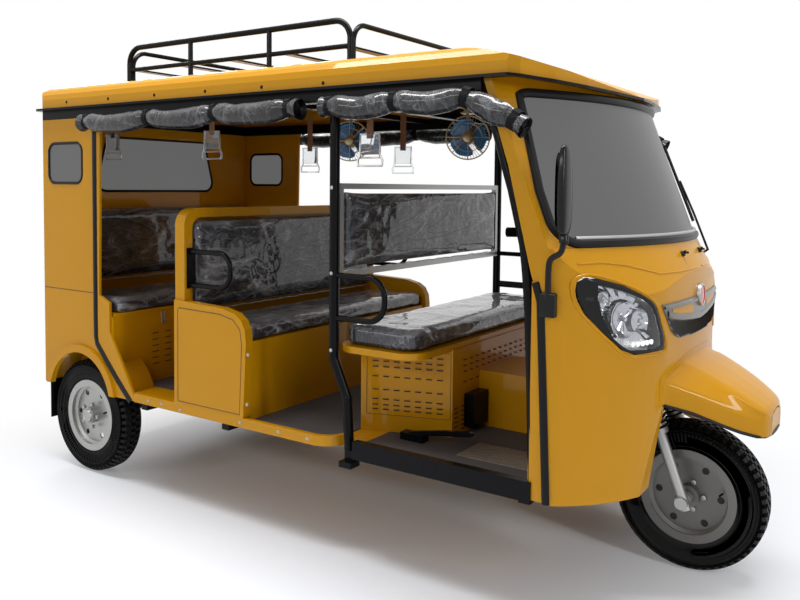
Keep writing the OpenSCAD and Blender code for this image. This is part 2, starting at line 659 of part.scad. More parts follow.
handle_y = hw - 40;
guard_zs = [901, 1050];
module hand_rails() color("#141414") from_axle() {
  both_sides() {
    translate([middle_x0 + 58 + gap, handle_y, 955]) d_handle(245, 145);
    block([middle_x0 + 58 + gap, handle_y - 14, 940], [middle_x0 + 64 + gap, handle_y + 18, 1115]);
    translate([pillar_x + pillar_d / 2 - 2, pillar_y, 892]) difference() {
      d_handle(215, 160);
      translate([2 - pillar_d / 2, 0, -50]) cylinder(h = 300, d = pillar_d + 2 * gap);
    }
  }
  difference() {
    rod([pillar_x, pillar_y, guard_zs[0]], [bulkhead_x - gap, pillar_y, guard_zs[0]], 24);
    rod([pillar_x, pillar_y, guard_zs[1]], [wheelbase - 325, pillar_y, guard_zs[1]], 24);
    translate([pillar_x, pillar_y, 800]) cylinder(h = 400, d = pillar_d + 2 * gap);
    both_sides() rod([wheelbase - 281, pillar_y, sill_z], [wheelbase - 325, pillar_y, 1029], pillar_d - 4 + 2 * gap);
    rod([wheelbase - 325, pillar_y, 1029], [wheelbase - 355, pillar_y, 1123], pillar_d - 4 + 2 * gap);
    translate([pillar_x, pillar_y, 892]) rotate([0, 90, 0]) cylinder(h = 215 - 72, d = handle_d + 2 * gap);
    translate([pillar_x, pillar_y, 892 + 160]) rotate([0, 90, 0]) cylinder(h = 215 - 72, d = handle_d + 2 * gap);
    translate([pillar_x + pillar_d / 2 - 2 + 140, pillar_y - 20, 870]) cube([90, 40, 210]);
  }
}

// ---------------------------------------------------------------- front body

cowl_low = 385;
cowl_top = gutter_z - gap;
nose_x = wheelbase + 10;           // foremost point of the plan's front arc
nose_half = hw - 400;              // half the width of that arc
nose_r = nose_half * 113 / 15;     // its radius: the arc ends where it has turned by atan(15 / 112)
cheek_r = 565;                     // radius of the arcs beside it, which turn on to atan(4 / 3)
cheek_y = nose_half - cheek_r * 15 / 113;
corner_r = cheek_r - 5 * (cheek_y + cheek_r - hw);   // radius of the corners, up to the flat sides

// Plan of the front body: a flat arc in front, a rounder arc on each side of it, and tight corners
module cowl_plan(inset) {
  cx = nose_x - nose_r;
  bx = cx + (nose_r - cheek_r) * 112 / 113;
  kx = bx + (cheek_r - corner_r) * 3 / 5;
  ky = hw - corner_r;
  intersection() {
    translate([cx, 0]) circle(nose_r - inset, $fn = 960);
    polygon([[cx, 0], [cx + 3360, -450], [cx + 3360, 450]]);
  }
  for (s = [-1, 1]) {
    intersection() {
      translate([bx, s * cheek_y]) circle(cheek_r - inset, $fn = 480);
      polygon([[bx, s * cheek_y], [bx + 1120, s * (cheek_y + 150)], [bx + 900, s * (cheek_y + 1200)]]);
    }
    translate([kx, s * ky]) circle(corner_r - inset, $fn = 90);
  }
  translate([cowl_rear_x, -hw + inset]) square([kx - cowl_rear_x, 2 * (hw - inset)]);
}

// Front line of the cowl, seen from the side, drawn back by inset
function cowl_front(inset) = [
  [wheelbase - 52 - inset, cowl_low - 1], [wheelbase - 16 - inset, 655], [wheelbase + 2 - inset, 735],
  [wheelbase + 40 - inset, 800], [wheelbase + 40 - inset, gutter_z + 1]];

cowl_rear_x = wheelbase - 540;
// Rear edge along the pillar, drawn back by back
function cowl_rear(back) = [
  [wheelbase - 521 + 20 - 14 - back, gutter_z + 1], [wheelbase - 439 + 20 - back, 1459],
  [wheelbase - 355 + 20 - back, 1123], [wheelbase - 325 + 20 - back, 1029], [wheelbase - 281 + 20 - back, cowl_low - 1]];

// A leaning cylinder whose front line passes through the middle of the windscreen's lower edge
module leaning(lean, r, low, high, inset)
  translate([screen_low_x, 0, screen_low_z]) rotate([0, -lean, 0])
    translate([-r, 0, low]) cylinder(h = high - low, r = r - inset, $fn = 480);

module cowl_form(inset, back) intersection() {
  side_plate(-hw - 20, hw + 20) polygon(concat(cowl_front(inset), cowl_rear(back)));
  translate([0, 0, cowl_low]) linear_extrude(cowl_top - cowl_low) cowl_plan(inset);
  union() {
    intersection() {
      leaning(screen_lean, screen_r, -600, 1200, inset);
      block([cowl_rear_x - 100, -hw - 50, screen_low_z - 1], [wheelbase + 100, hw + 50, gutter_z + 50]);
    }
    // the deck stands 2 mm ahead of the glass, and runs a little flatter across
    intersection() {
      translate([2, 0, 0]) leaning(deck_lean, screen_r + 85, -1600, 900, inset);
      block([cowl_rear_x - 100, -hw - 50, cowl_low - 50], [wheelbase + 100, hw + 50, screen_low_z]);
    }
  }
}

// Outline of the opening that the front wheel stands in
module wheel_opening() polygon([[-360, 300], [360, 300], [350, 430], [336, 560], [322, 650], [300, 705], [250, 738],
                                [160, 760], [-160, 760], [-250, 738], [-300, 705], [-322, 650], [-336, 560], [-350, 430]]);

screen_high_z = gutter_z - 52;
module screen_outline(inset) intersection() {
  round_rect([-hw + 32 + inset, screen_low_z + 12 + inset], [hw - 32 - inset, screen_high_z - inset], 75 - inset);
  polygon([[-hw + 32 + inset, screen_low_z], [hw - 32 - inset, screen_low_z], [hw - 32 - inset, screen_low_z + 180],
           [hw - 70 - inset, screen_high_z + 1], [-hw + 70 + inset, screen_high_z + 1],
           [-hw + 32 + inset, screen_low_z + 180]]);
}

// Almond outline of the right headlamp, seen from the front
module lamp_outline(inset) offset(delta = -inset)
  polygon([[-hw + 45, 1069], [-hw + 48, 1095], [-hw + 62, 1110], [-hw + 92, 1108], [-hw + 184, 1080], [-hw + 241, 1048],
           [-hw + 288, 1023], [-hw + 314, 1001], [-hw + 331, 966], [-hw + 351, 928], [-hw + 366, 893], [-hw + 369, 860],
           [-hw + 360, 854], [-hw + 218, 854], [-hw + 169, 874], [-hw + 116, 928], [-hw + 66, 993], [-hw + 48, 1041]]);

module front_cowl() color("#e8a913") from_axle() difference() {
  cowl_form(0, 0);
  cowl_form(wall, 90);
  front_plate(wheelbase - 210, wheelbase + 120) wheel_opening();
  front_plate(wheelbase - 500, wheelbase + 120) screen_outline(0);
  both_sides() front_plate(wheelbase - 280, wheelbase + 120) lamp_outline(0);
}

module windscreen() color("#6d6d6d") from_axle() intersection() {
  difference() {
    cowl_form(2, 0);
    cowl_form(2 + glass_t, 90);
  }
  front_plate(wheelbase - 500, wheelbase + 120) screen_outline(gap);
}

module headlamps() color("#d8dade") from_axle() both_sides() intersection() {
  difference() {
    cowl_form(1, 0);
    cowl_form(46, 90);
  }
  front_plate(wheelbase - 270, wheelbase + 120) lamp_outline(gap);
}

module grille() color("#6f6d68") from_axle() intersection() {
  translate([0, 0, 860]) linear_extrude(200) difference() {
    cowl_plan(-5);
    cowl_plan(-gap);
  }
  front_plate(wheelbase - 100, wheelbase + 120)
    union() {
      polygon([[-360, 1005], [-346, 981], [-310, 935], [-290, 912], [-262, 893], [-224, 880], [-100, 874], [100, 874],
               [224, 880], [262, 893], [290, 912], [310, 935], [346, 981], [360, 1005]]);
      translate([0, 1006]) circle(40, $fn = 48);
    }
}

module firewall() color("#c98f10") from_axle() difference() {
  union() {
    block([bulkhead_x, -in_w + 2, floor_z + gap], [bulkhead_x + wall - 2, in_w - 2, 1000]);
    block([bulkhead_x, -in_w + 2, 985], [wheelbase - 105, in_w - 2, 997]);
    block([wheelbase - 215, -150, 990], [wheelbase - 145, 150, 1105]);
  }
  // room for the steering stem, the pillars and the inside of the cowl
  steering_frame() cylinder(h = 1200, d = stem_d + 44);
  both_sides() for (i = [0:2])
    rod([wheelbase + front_pillar[i][0], pillar_y, front_pillar[i][1]],
        [wheelbase + front_pillar[i + 1][0], pillar_y, front_pillar[i + 1][1]], pillar_d - 4 + 2 * gap);
  both_sides() block([bulkhead_x - 1, sill_in - gap, sill_z], [bulkhead_x + 18, hw, lip_z + 8 + gap]);
  both_sides() block([wheelbase - 275, hw - 372, 980], [wheelbase, hw, 1000]);
  difference() {
    block([bulkhead_x - 50, -hw - 50, 300], [wheelbase + 200, hw + 50, 1200]);
    cowl_form(wall + gap, 90);
  }
}

// Front mudguard: a hood that grows out of the cowl over the front wheel
// Its stations from the cowl to the tip: x ahead of the wheel, half-width and height of the ridge, half-width and
// height of the crease under it, height of the lower edge
guard_stations = [
  [-60, 185, 808, 358, 753, 680], [24, 181, 777, 302, 718, 652], [65, 182, 762, 272, 700, 638],
  [146, 166, 722, 216, 661, 598], [197, 152, 693, 182, 638, 576], [244, 136, 661, 150, 622, 561],
  [guard_tip - 12, 114, 643, 126, 616, 556], [guard_tip, 74, 624, 86, 608, 556]];

// One station's outline, from the middle of the crown to the lower edge on the side s
function guard_side(p, inset, low, s) = [
  [p[0], s * 0.5 * (p[1] - inset), p[2] + 7 - inset], [p[0], s * (p[1] - inset), p[2] - inset],
  [p[0], s * (p[3] - inset), p[4] - inset / 2], [p[0], s * (p[3] - inset), low ? 300 : p[5]]];

module guard_form(inset, low) {
  last = len(guard_stations) - 1;
  rings = [for (i = [0:last]) let (
    q = guard_stations[i], p = [q[0] - (i > last - 3 ? inset : 0), q[1], q[2], q[3], q[4], q[5]],
    right = guard_side(p, inset, low, -1), left = guard_side(p, inset, low, 1))
    concat([[p[0], 0, p[2] + 10 - inset]], right, [left[3], left[2], left[1], left[0]])];
  n = 9;
  translate([wheelbase, 0, 0]) polyhedron(
    points = [for (ring = rings) for (p = ring) p],
    faces = concat(
      [[for (k = [0:n - 1]) k]], [[for (k = [n - 1:-1:0]) last * n + k]],
      [for (i = [0:last - 1]) for (k = [0:n - 1]) [i * n + k, (i + 1) * n + k, i * n + (k + 1) % n]],
      [for (i = [0:last - 1]) for (k = [0:n - 1]) [i * n + (k + 1) % n, (i + 1) * n + k, (i + 1) * n + (k + 1) % n]]));
}

module front_mudguard() color("#f0b41c") from_axle() difference() {
  guard_form(0, false);
  guard_form(7, true);
  intersection() {
    side_plate(-500, 500) polygon(concat(cowl_front(-1), cowl_rear(90)));
    translate([0, 0, 500]) linear_extrude(500) cowl_plan(-1);
  }
}

// ---------------------------------------------------------------- engine and driver's seat

box_half = hw - 200;       // half-widths of the box under the driver's bench, rear and front
box_front_half = hw - 315;
box_x0 = pillar_x + 8;
box_x1 = pillar_x + 358;
tunnel_half = 170;
tunnel_z = 650;
lip_half = pillar_y - pillar_d / 2 - 3;

module engine_block() color("#4b4d50") from_axle()
  block([engine_x0, -engine_w / 2, chassis_z - 118], [engine_x1, engine_w / 2, driver_seat_z - 90]);

// Plan of the box under the driver's bench, which narrows towards the front
module box_plan(grow) polygon([[box_x0 - grow, -box_half - grow], [box_x1 + grow, -box_front_half - grow],
                               [box_x1 + grow, box_front_half + grow], [box_x0 - grow, box_half + grow]]);

module driver_seat_box() color("#e0a112") from_axle() difference() {
  union() {
    translate([0, 0, floor_z + gap]) linear_extrude(driver_seat_z - 20 - floor_z - gap) box_plan(0);
    translate([0, 0, driver_seat_z - 25]) linear_extrude(25)
      round_rect([pillar_x - 22, -lip_half], [box_x1 - 5, lip_half], 90);
    block([box_x1 - 1, -tunnel_half, floor_z + gap], [bulkhead_x - gap, tunnel_half, tunnel_z]);
  }
  translate([0, 0, floor_z - 1]) linear_extrude(driver_seat_z - 25 - floor_z) box_plan(-wall);
  block([box_x1 - wall - 1, -tunnel_half + wall, floor_z - 1], [bulkhead_x - 2 * wall, tunnel_half - wall, tunnel_z - wall]);
}

module driver_cushion() color("#3a3b3f") from_axle()
  translate([0, 0, driver_seat_z + gap]) linear_extrude(cushion_t + 8)
    round_rect([pillar_x - 18, -lip_half + 6], [box_x1 - 10, lip_half - 6], 85);

back_low = 1041;
back_high = 1397;
back_half = pillar_y - pillar_d / 2 - gap;
module driver_backrest() color("#3c3c3e") from_axle() front_plate(pillar_x - 13, pillar_x + 11) difference() {
  translate([-back_half, back_low]) square([2 * back_half, back_high - back_low]);
  translate([-back_half + 22, back_low + 22]) square([2 * back_half - 44, back_high - back_low - 44]);
}

module driver_back_pad() color("#3a3b3f") from_axle() front_plate(pillar_x - 20, pillar_x + 22)
  round_rect([-back_half + 22 + gap, back_low + 22 + gap], [back_half - 22 - gap, back_high - 22 - gap], 8);

module brake_lever() color("#1a1a1a") from_axle() {
  base = [pillar_x + 250, -box_half, floor_z + mat_t + gap];
  block(base + [-40, -22, 0], base + [60, 22, 28]);
  translate([base[0], 0, base[2]]) side_plate(base[1] - 7, base[1] + 7)
    polygon([[-30, 10], [150, 40], [250, 54], [262, 60], [262, 70], [250, 73], [145, 60], [-30, 27]]);
  // control box on the front of the seat box
  block([box_x1 + gap, -tunnel_half - 125, floor_z + mat_t + 20], [box_x1 + 45, -tunnel_half - 10, floor_z + mat_t + 150]);
}

// ---------------------------------------------------------------- middle bench

middle_x0 = 642;
middle_x1 = 1060;
middle_top = 1285;
side_t = 40;

module middle_bench() color("#e8a913") from_axle() {
  both_sides() side_plate(hw - side_t, hw)
    polygon([[middle_x0 + 3, lip_z + gap], [middle_x0 + 3, 890], [middle_x1 - 122, 878], [middle_x1 - 50, 862],
             [middle_x1 - 12, 838], [middle_x1 + 8, 800], [middle_x1 + 14, 750], [middle_x1 - 2, lip_z + gap]]);
  // front, seat board and back, closed between the sides
  y = hw - side_t + 1;
  block([middle_x1 - 15, -y, floor_z + gap], [middle_x1, y, middle_seat_z]);
  block([middle_x0, -y, middle_seat_z - 12], [middle_x1, y, middle_seat_z]);
  block([middle_x0, -y, floor_z + gap], [middle_x0 + wall, y, 900]);
  difference() {
    front_plate(middle_x0, middle_x0 + 58) round_rect([-hw + 10, 775], [hw - 10, middle_top], 75);
    front_plate(middle_x0 + wall, middle_x0 + 60) round_rect([-hw + 55, 830], [hw - 55, middle_top - 40], 50);
    block([middle_x0 + wall, -hw + 55, middle_seat_z], [middle_x0 + 60, hw - 55, 900]);
  }
}

module middle_cushion() color("#3a3b3f") from_axle()
  translate([0, 0, middle_seat_z + gap]) linear_extrude(cushion_t)
    round_rect([middle_x1 + 5 - middle_cushion_l, -hw + side_t + 4], [middle_x1 + 5, hw - side_t - 4], 20);

module middle_back_pad() color("#3a3b3f") from_axle()
  front_plate(middle_x0 + wall + gap, middle_x0 + wall + 56)
    round_rect([-hw + 55 + gap, 830 + gap], [hw - 55 - gap, middle_top - 40 - gap], 50);

// ---------------------------------------------------------------- rear bench

rear_panel_x = 200;
hinge_x = -185;
hinge_z = rear_seat_z - 7.5;
hinge_ys = [-450, 450];
lid_t = 15;

module rear_bench() color("#e0a112") from_axle() {
  difference() {
    union() {
      block([rear_panel_x, -in_w + gap, floor_z + gap], [rear_panel_x + wall, in_w - gap, rear_seat_z - lid_t - gap]);
      difference() {
        block([hinge_x + 20, -in_w + gap, rear_seat_z - lid_t - 30], [rear_panel_x + wall, in_w - gap, rear_seat_z - lid_t - gap]);
        block([hinge_x + 55, -in_w + 45, rear_seat_z - lid_t - 31], [rear_panel_x - 30, in_w - 45, rear_seat_z]);
      }
    }
    both_sides() side_plate(tub_y - gap, hw) translate([0, tub_z]) circle(tub_r + gap, $fn = 96);
    block([rear_panel_x - 5, in_w - 1, 300], [rear_panel_x + 20, hw, 900]);
  }
  for (y = hinge_ys) translate([hinge_x, y, hinge_z]) {
    for (s = [-1, 1]) {
      translate([0, s * 30 + 14, 0]) rotate([90, 0, 0]) cylinder(h = 28, d = knuckle_d);
      block([-7, s * 30 - 14, -34], [22, s * 30 + 14, -8]);
    }
    translate([0, 40, 0]) rotate([90, 0, 0]) cylinder(h = 80, d = hinge_pin_d);
  }
}

module rear_seat_lid() color("#c98f10") from_axle() {
  block([hinge_x + 10, -in_w + 8, rear_seat_z - lid_t], [rear_panel_x + 18, in_w - 8, rear_seat_z]);
  for (y = hinge_ys) translate([hinge_x, y, hinge_z]) difference() {
    union() {
      translate([0, 15, 0]) rotate([90, 0, 0]) cylinder(h = 30, d = knuckle_d);
      block([0, -15, -7.5], [12, 15, 7.5]);
    }
    translate([0, 16, 0]) rotate([90, 0, 0]) cylinder(h = 32, d = hinge_pin_d + 2 * run_gap);
  }
}

module rear_cushion() color("#3a3b3f") from_axle()
  translate([0, 0, rear_seat_z + gap]) linear_extrude(cushion_t)
    round_rect([hinge_x + 20, -in_w + 8], [rear_panel_x + 38, in_w - 8], 20);

module rear_back_pad() color("#3a3b3f") from_axle()
  front_plate(rear_x + wall + gap, rear_x + wall + 62) round_rect([-hw + 60, 885], [hw - 60, 1273], 20);

// ---------------------------------------------------------------- fans, curtains, mirror, wiper

fan_z = gutter_z - 150;
function fan_place(i) = [bow_xs[i], 0, fan_z];
module fan_frame(i) translate(fan_place(i)) rotate([0, 0, fan_yaw]) rotate([0, 90, 0]) children();

module fan_guards() color("#b8975a") from_axle() for (i = [0, 1]) {
  ring_r = fan_d / 2;
  fan_frame(i) {
    rotate_extrude() translate([ring_r - 5, -4]) square([5, 8]);
    for (a = [0:45:315]) rotate([0, 0, a]) {
      block([12, -1.5, 17], [ring_r - 1, 1.5, 20]);
      block([12, -1.5, -20], [ring_r - 1, 1.5, -17]);
      block([ring_r - 5, -1.5, -20], [ring_r - 1, 1.5, 20]);
    }
    translate([0, 0, 16]) cylinder(h = 6, d = 44);
    translate([0, 0, -72]) cylinder(h = 56, d = 60);
    translate([0, 0, -20]) cylinder(h = 40, d = hinge_pin_d);
  }
  // stem from the motor up to the roof bow
  motor = fan_place(i) + [-48 * cos(fan_yaw), -48 * sin(fan_yaw), 0];
  plate_top = gutter_z - gap - bow_h - gap;
  translate(motor) cylinder(h = 108, d = 14);
  translate([motor[0] - 7, min(motor[1], 0) - 7, fan_z + 102])
    cube([bow_xs[i] + 14 - motor[0] + 7, abs(motor[1]) + 14, 8]);
  block([bow_xs[i] - 14, -14, fan_z + 103], [bow_xs[i] + 14, 14, plate_top]);
}

module fan_rotor(i) fan_frame(i) difference() {
  union() {
    translate([0, 0, -9]) cylinder(h = 18, d = 36);
    for (a = [0:120:240]) rotate([0, 0, a]) rotate([22, 0, 0])
      block([12, -22, -1.5], [fan_d / 2 - 14, 22, 1.5]);
  }
  translate([0, 0, -21]) cylinder(h = 42, d = hinge_pin_d + 2 * run_gap);
}

module front_fan_rotor() color("#2a8fd0") from_axle() fan_rotor(1);
module rear_fan_rotor() color("#2a8fd0") from_axle() fan_rotor(0);

roll_y = hw + roll_d / 2 + 1;
roll_z = gutter_z - 76;
module curtain_rolls() color("#2b2c30") from_axle() both_sides() {
  roll_front = [wheelbase - 540, roll_y, roll_z];
  rod([75, roll_y, roll_z], [pillar_x - 100, roll_y, roll_z], roll_d, 25);
  rod([pillar_x + 10, roll_y, roll_z], roll_front, roll_d, 25);
  ball(roll_front, [wheelbase - 340, roll_y, roll_z - 98], roll_d * 1.03);
  rod(roll_front, [wheelbase - 340, roll_y, roll_z - 98], roll_d, 25);
  // straps that hold the rolls against the side rails
  for (x = [110, pillar_x - 960, pillar_x - 550, pillar_x - 140, pillar_x + 50, pillar_x + 330, wheelbase - 560])
    block([x - 15, hw + gap, roll_z + 18], [x + 15, roll_y, roll_z + 40]);
}

mirror_x = wheelbase - 212;
mirror_y = roll_y + roll_d / 2 - 54;   // middle of the glass, so that its edge lines up with the curtains
module door_mirror() color("#121212") from_axle() {
  block([wheelbase - 306, -hw - 32, 1035], [wheelbase - 250, -hw - gap, 1090]);
  rod([wheelbase - 268, -hw - 18, 1050], [wheelbase - 268, -hw - 18, 1152], 13);
  rod([wheelbase - 268, -hw - 18, 1146], [wheelbase - 240, -hw - 19, 1180], 11);
  bent_rod([[wheelbase - 242, -hw - 19, 1177], [mirror_x, -mirror_y, 1213], [mirror_x, -mirror_y, 1300]], 12);
  translate([mirror_x - 16, -mirror_y, 0]) front_plate(0, 32) round_rect([-42, 1245], [42, 1515], 30);
}

// Wiper at the left of the windscreen, its arm along the glass
// A point just in front of the windscreen
function on_screen(y, z, off) =
  [screen_low_x + off - (z - screen_low_z) * tan(screen_lean) - (screen_r - sqrt(screen_r * screen_r - y * y)) / cos(screen_lean), y, z];
module wiper() color("#141414") from_axle() {
  difference() {
    bent_rod([on_screen(300, 1120, -20), on_screen(300, 1150, 28), on_screen(340, 1290, 26), on_screen(380, 1420, 20)], 9);
    cowl_form(-gap, 90);
  }
  rod(on_screen(330, 1260, 12), on_screen(420, 1560, 12), 12);
}

chassis_frame();
floor_pan();
floor_mats();
driver_sills();
right_quarter();
left_quarter();
rear_wall();
window_glass();
roof_shell();
roof_rails();
roof_rack();
pillar_tubes();
hand_rails();
front_cowl();
windscreen();
headlamps();
grille();
firewall();
front_mudguard();
front_fork();
handlebar();
front_axle();
front_rim();
front_tyre();
rear_axle();
leaf_springs();
right_rear_rim();
right_rear_tyre();
left_rear_rim();
left_rear_tyre();
engine_block();
driver_seat_box();
driver_cushion();
driver_backrest();
driver_back_pad();
middle_bench();
middle_cushion();
middle_back_pad();
rear_bench();
rear_seat_lid();
rear_cushion();
rear_back_pad();
fan_guards();
front_fan_rotor();
rear_fan_rotor();
curtain_rolls();
door_mirror();
wiper();
brake_lever();
tail_lamps();
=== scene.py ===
# %% [markdown]
# # An auto rickshaw
# The imported model gives every hard part of the vehicle at its real size. This lesson adds what a buyer would see
# on top of it: paint, rubber, vinyl under clear film, lamps, seals, louvres, tyre blocks and rolled curtains.
# The first cell loads the model and its record, and bakes each part's placement into its mesh.

# %% Load the frame
import bpy
import json
import math
from mathutils import Matrix, Vector, noise
from mathutils.bvhtree import BVHTree


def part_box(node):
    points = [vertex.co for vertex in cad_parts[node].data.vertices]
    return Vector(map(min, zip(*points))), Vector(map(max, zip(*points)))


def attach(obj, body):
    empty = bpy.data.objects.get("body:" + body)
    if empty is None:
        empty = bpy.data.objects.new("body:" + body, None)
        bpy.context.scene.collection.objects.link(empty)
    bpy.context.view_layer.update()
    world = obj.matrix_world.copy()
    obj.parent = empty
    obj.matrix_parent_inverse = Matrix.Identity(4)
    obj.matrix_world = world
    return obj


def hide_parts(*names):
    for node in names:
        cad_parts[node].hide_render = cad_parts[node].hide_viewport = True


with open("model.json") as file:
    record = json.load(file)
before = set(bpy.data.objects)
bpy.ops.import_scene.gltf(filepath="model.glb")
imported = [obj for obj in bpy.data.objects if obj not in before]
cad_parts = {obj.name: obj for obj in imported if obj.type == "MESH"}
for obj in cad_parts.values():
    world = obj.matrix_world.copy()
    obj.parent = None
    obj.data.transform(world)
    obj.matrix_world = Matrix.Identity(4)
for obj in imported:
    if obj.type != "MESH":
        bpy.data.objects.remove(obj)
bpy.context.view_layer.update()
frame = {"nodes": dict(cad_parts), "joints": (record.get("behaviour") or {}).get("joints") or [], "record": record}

# %% [markdown]
# Rickshaw makers measure from the rear axle, so this lesson does too: `at(x, y, z)` takes millimetres ahead of
# the axle, to the left of the middle and up from the road, and gives the point in the model's own metres.

# %% A ruler
AXLE = next(j["pos_m"][0] for j in frame["joints"] if j["name"] == "right_rear_wheel_spin")
ops, mesh_ops = bpy.ops.object, bpy.ops.mesh
SIDES = ((-1, "right"), (1, "left"))


def at(x, y, z):
    return Vector((AXLE + x / 1000, y / 1000, z / 1000))


print("rear axle at x =", round(AXLE, 4))

# %% [markdown]
# The camera goes in first, where someone of middle height would stand off the right front corner. A little
# vertical shift keeps the pillars upright in the picture instead of tilting the camera.

# %% Camera
YAW, PITCH, ROLL = 0.5935, 0.0501, 0.0096
camera_data = bpy.data.cameras.new("view_camera")
camera_data.sensor_width = 36
camera_data.lens = 36 * 810.4851 / 800
camera_data.shift_y = -(300 - 227.5769) / 800
camera = bpy.data.objects.new("view_camera", camera_data)
bpy.context.scene.collection.objects.link(camera)
look = Vector((-math.sin(YAW) * math.cos(PITCH), math.cos(YAW) * math.cos(PITCH), -math.sin(PITCH)))
camera.matrix_world = (Matrix.Translation(Vector((3.3959 + AXLE, -3.0390, 1.3850)))
                       @ look.to_track_quat("-Z", "Y").to_matrix().to_4x4() @ Matrix.Rotation(ROLL, 4, "Z"))
bpy.context.scene.camera = camera
print("camera at", [round(v, 3) for v in camera.location])

# %% [markdown]
# A pale floor and a large soft light overhead are how a dealer's studio shows enamel: the long highlights come
# from wide lamps, and the floor turns to plain white away from the vehicle so that no horizon shows.

# %% Floor


def deselect():
    ops.select_all(action="DESELECT")


deselect()
mesh_ops.primitive_plane_add(size=60, location=(0, 0, 0))
floor = bpy.context.object
floor.name = "studio_floor"
floor_paint = bpy.data.materials.new("studio_floor")
floor_paint.use_nodes = True
nodes, links = floor_paint.node_tree.nodes, floor_paint.node_tree.links
shade = nodes["Principled BSDF"]
shade.inputs["Base Color"].default_value = (0.86, 0.885, 0.93, 1)
shade.inputs["Roughness"].default_value = 0.7
shade.inputs["Specular IOR Level"].default_value = 0.15
where = nodes.new("ShaderNodeTexCoord")
reach = nodes.new("ShaderNodeVectorMath")
reach.operation = "LENGTH"
links.new(where.outputs["Object"], reach.inputs[0])
fade = nodes.new("ShaderNodeMapRange")
fade.interpolation_type = "SMOOTHSTEP"
fade.inputs["From Min"].default_value, fade.inputs["From Max"].default_value = 0.9, 2.7
links.new(reach.outputs["Value"], fade.inputs["Value"])
rays = nodes.new("ShaderNodeLightPath")
seen = nodes.new("ShaderNodeMath")
seen.operation = "MAXIMUM"
links.new(rays.outputs["Is Camera Ray"], seen.inputs[0])
links.new(rays.outputs["Is Glossy Ray"], seen.inputs[1])
seen_too = nodes.new("ShaderNodeMath")
seen_too.operation = "MAXIMUM"
links.new(seen.outputs[0], seen_too.inputs[0])
links.new(rays.outputs["Is Transmission Ray"], seen_too.inputs[1])
share = nodes.new("ShaderNodeMath")
share.operation = "MULTIPLY"
links.new(fade.outputs["Result"], share.inputs[0])
links.new(seen_too.outputs[0], share.inputs[1])
white = nodes.new("ShaderNodeEmission")
white.inputs["Color"].default_value = (1, 1, 1, 1)
blend = nodes.new("ShaderNodeMixShader")
links.new(share.outputs[0], blend.inputs["Fac"])
links.new(shade.outputs["BSDF"], blend.inputs[1])
links.new(white.outputs[0], blend.inputs[2])
links.new(blend.outputs[0], nodes["Material Output"].inputs["Surface"])
floor.data.materials.append(floor_paint)

# %% World and lamps
world = bpy.data.worlds.new("studio")
bpy.context.scene.world = world
world.use_nodes = True
nodes, links = world.node_tree.nodes, world.node_tree.links
rays = nodes.new("ShaderNodeLightPath")
soft, plain = nodes["Background"], nodes.new("ShaderNodeBackground")
soft.inputs["Color"].default_value = (0.93, 0.95, 1.0, 1)
soft.inputs["Strength"].default_value = 0.24
plain.inputs["Strength"].default_value = 1.0
plain.inputs["Color"].default_value = (1, 1, 1, 1)
blend = nodes.new("ShaderNodeMixShader")
seen = nodes.new("ShaderNodeMath")
seen.operation = "MAXIMUM"
links.new(rays.outputs["Is Camera Ray"], seen.inputs[0])
links.new(rays.outputs["Is Transmission Ray"], seen.inputs[1])
also = nodes.new("ShaderNodeMath")
also.operation = "MAXIMUM"
links.new(seen.outputs[0], also.inputs[0])
links.new(rays.outputs["Is Glossy Ray"], also.inputs[1])
links.new(also.outputs[0], blend.inputs["Fac"])
links.new(soft.outputs[0], blend.inputs[1])
links.new(plain.outputs[0], blend.inputs[2])
links.new(blend.outputs[0], nodes["World Output"].inputs["Surface"])
bpy.context.scene.view_settings.view_transform = "Standard"


def lamp(name, place, size, power, aim=(0, 0, 0.8)):
    data = bpy.data.lights.new(name, "AREA")
    data.shape, data.size, data.size_y, data.energy = "RECTANGLE", size[0], size[1], power
    light = bpy.data.objects.new(name, data)
    bpy.context.scene.collection.objects.link(light)
    turn = (Vector(aim) - Vector(place)).to_track_quat("-Z", "Y")
    light.matrix_world = Matrix.Translation(Vector(place)) @ turn.to_matrix().to_4x4()


for lamp_row in (("overhead", (0.3, -0.6, 5.2), (6.0, 0.9), 370), ("front_box", (5.6, -1.6, 2.9), (0.6, 2.4), 70),
                 ("side_box", (-0.6, -5.6, 3.0), (6.0, 0.6), 75), ("back_box", (-5.0, 3.2, 3.4), (3.0, 1.4), 90)):
    lamp(*lamp_row)

# %% [markdown]
# Dust, fine grain and crinkles appear in several finishes, so each is a node group: a small machine with named
# inputs that gives a mask or a bump, and is then used with different values in each material.

# %% Shared effects


def group(name, inputs, outputs):
    tree = bpy.data.node_groups.new(name, "ShaderNodeTree")
    for label, kind, value in inputs:
        socket = tree.interface.new_socket(label, in_out="INPUT", socket_type=kind)
        if value is not None:
            socket.default_value = value
    for label, kind in outputs:
        tree.interface.new_socket(label, in_out="OUTPUT", socket_type=kind)
    return tree, tree.nodes.new("NodeGroupInput"), tree.nodes.new("NodeGroupOutput")


def math_node(tree, operation, a, b=0.5, clamp=False):
    node = tree.nodes.new("ShaderNodeMath")
    node.operation, node.use_clamp = operation, clamp
    for socket, value in zip(node.inputs, (a, b)):
        if isinstance(value, (int, float)):
            socket.default_value = value
        else:
            tree.links.new(value, socket)
    return node.outputs[0]


def noise_node(tree, vector, scale, detail=4.0, distortion=0.0, rough=0.55):
    node = tree.nodes.new("ShaderNodeTexNoise")
    node.inputs["Detail"].default_value = detail
    node.inputs["Distortion"].default_value = distortion
    node.inputs["Roughness"].default_value = rough
    if isinstance(scale, (int, float)):
        node.inputs["Scale"].default_value = scale
    else:
        tree.links.new(scale, node.inputs["Scale"])
    if vector is not None:
        tree.links.new(vector, node.inputs["Vector"])
    return node.outputs["Fac"]


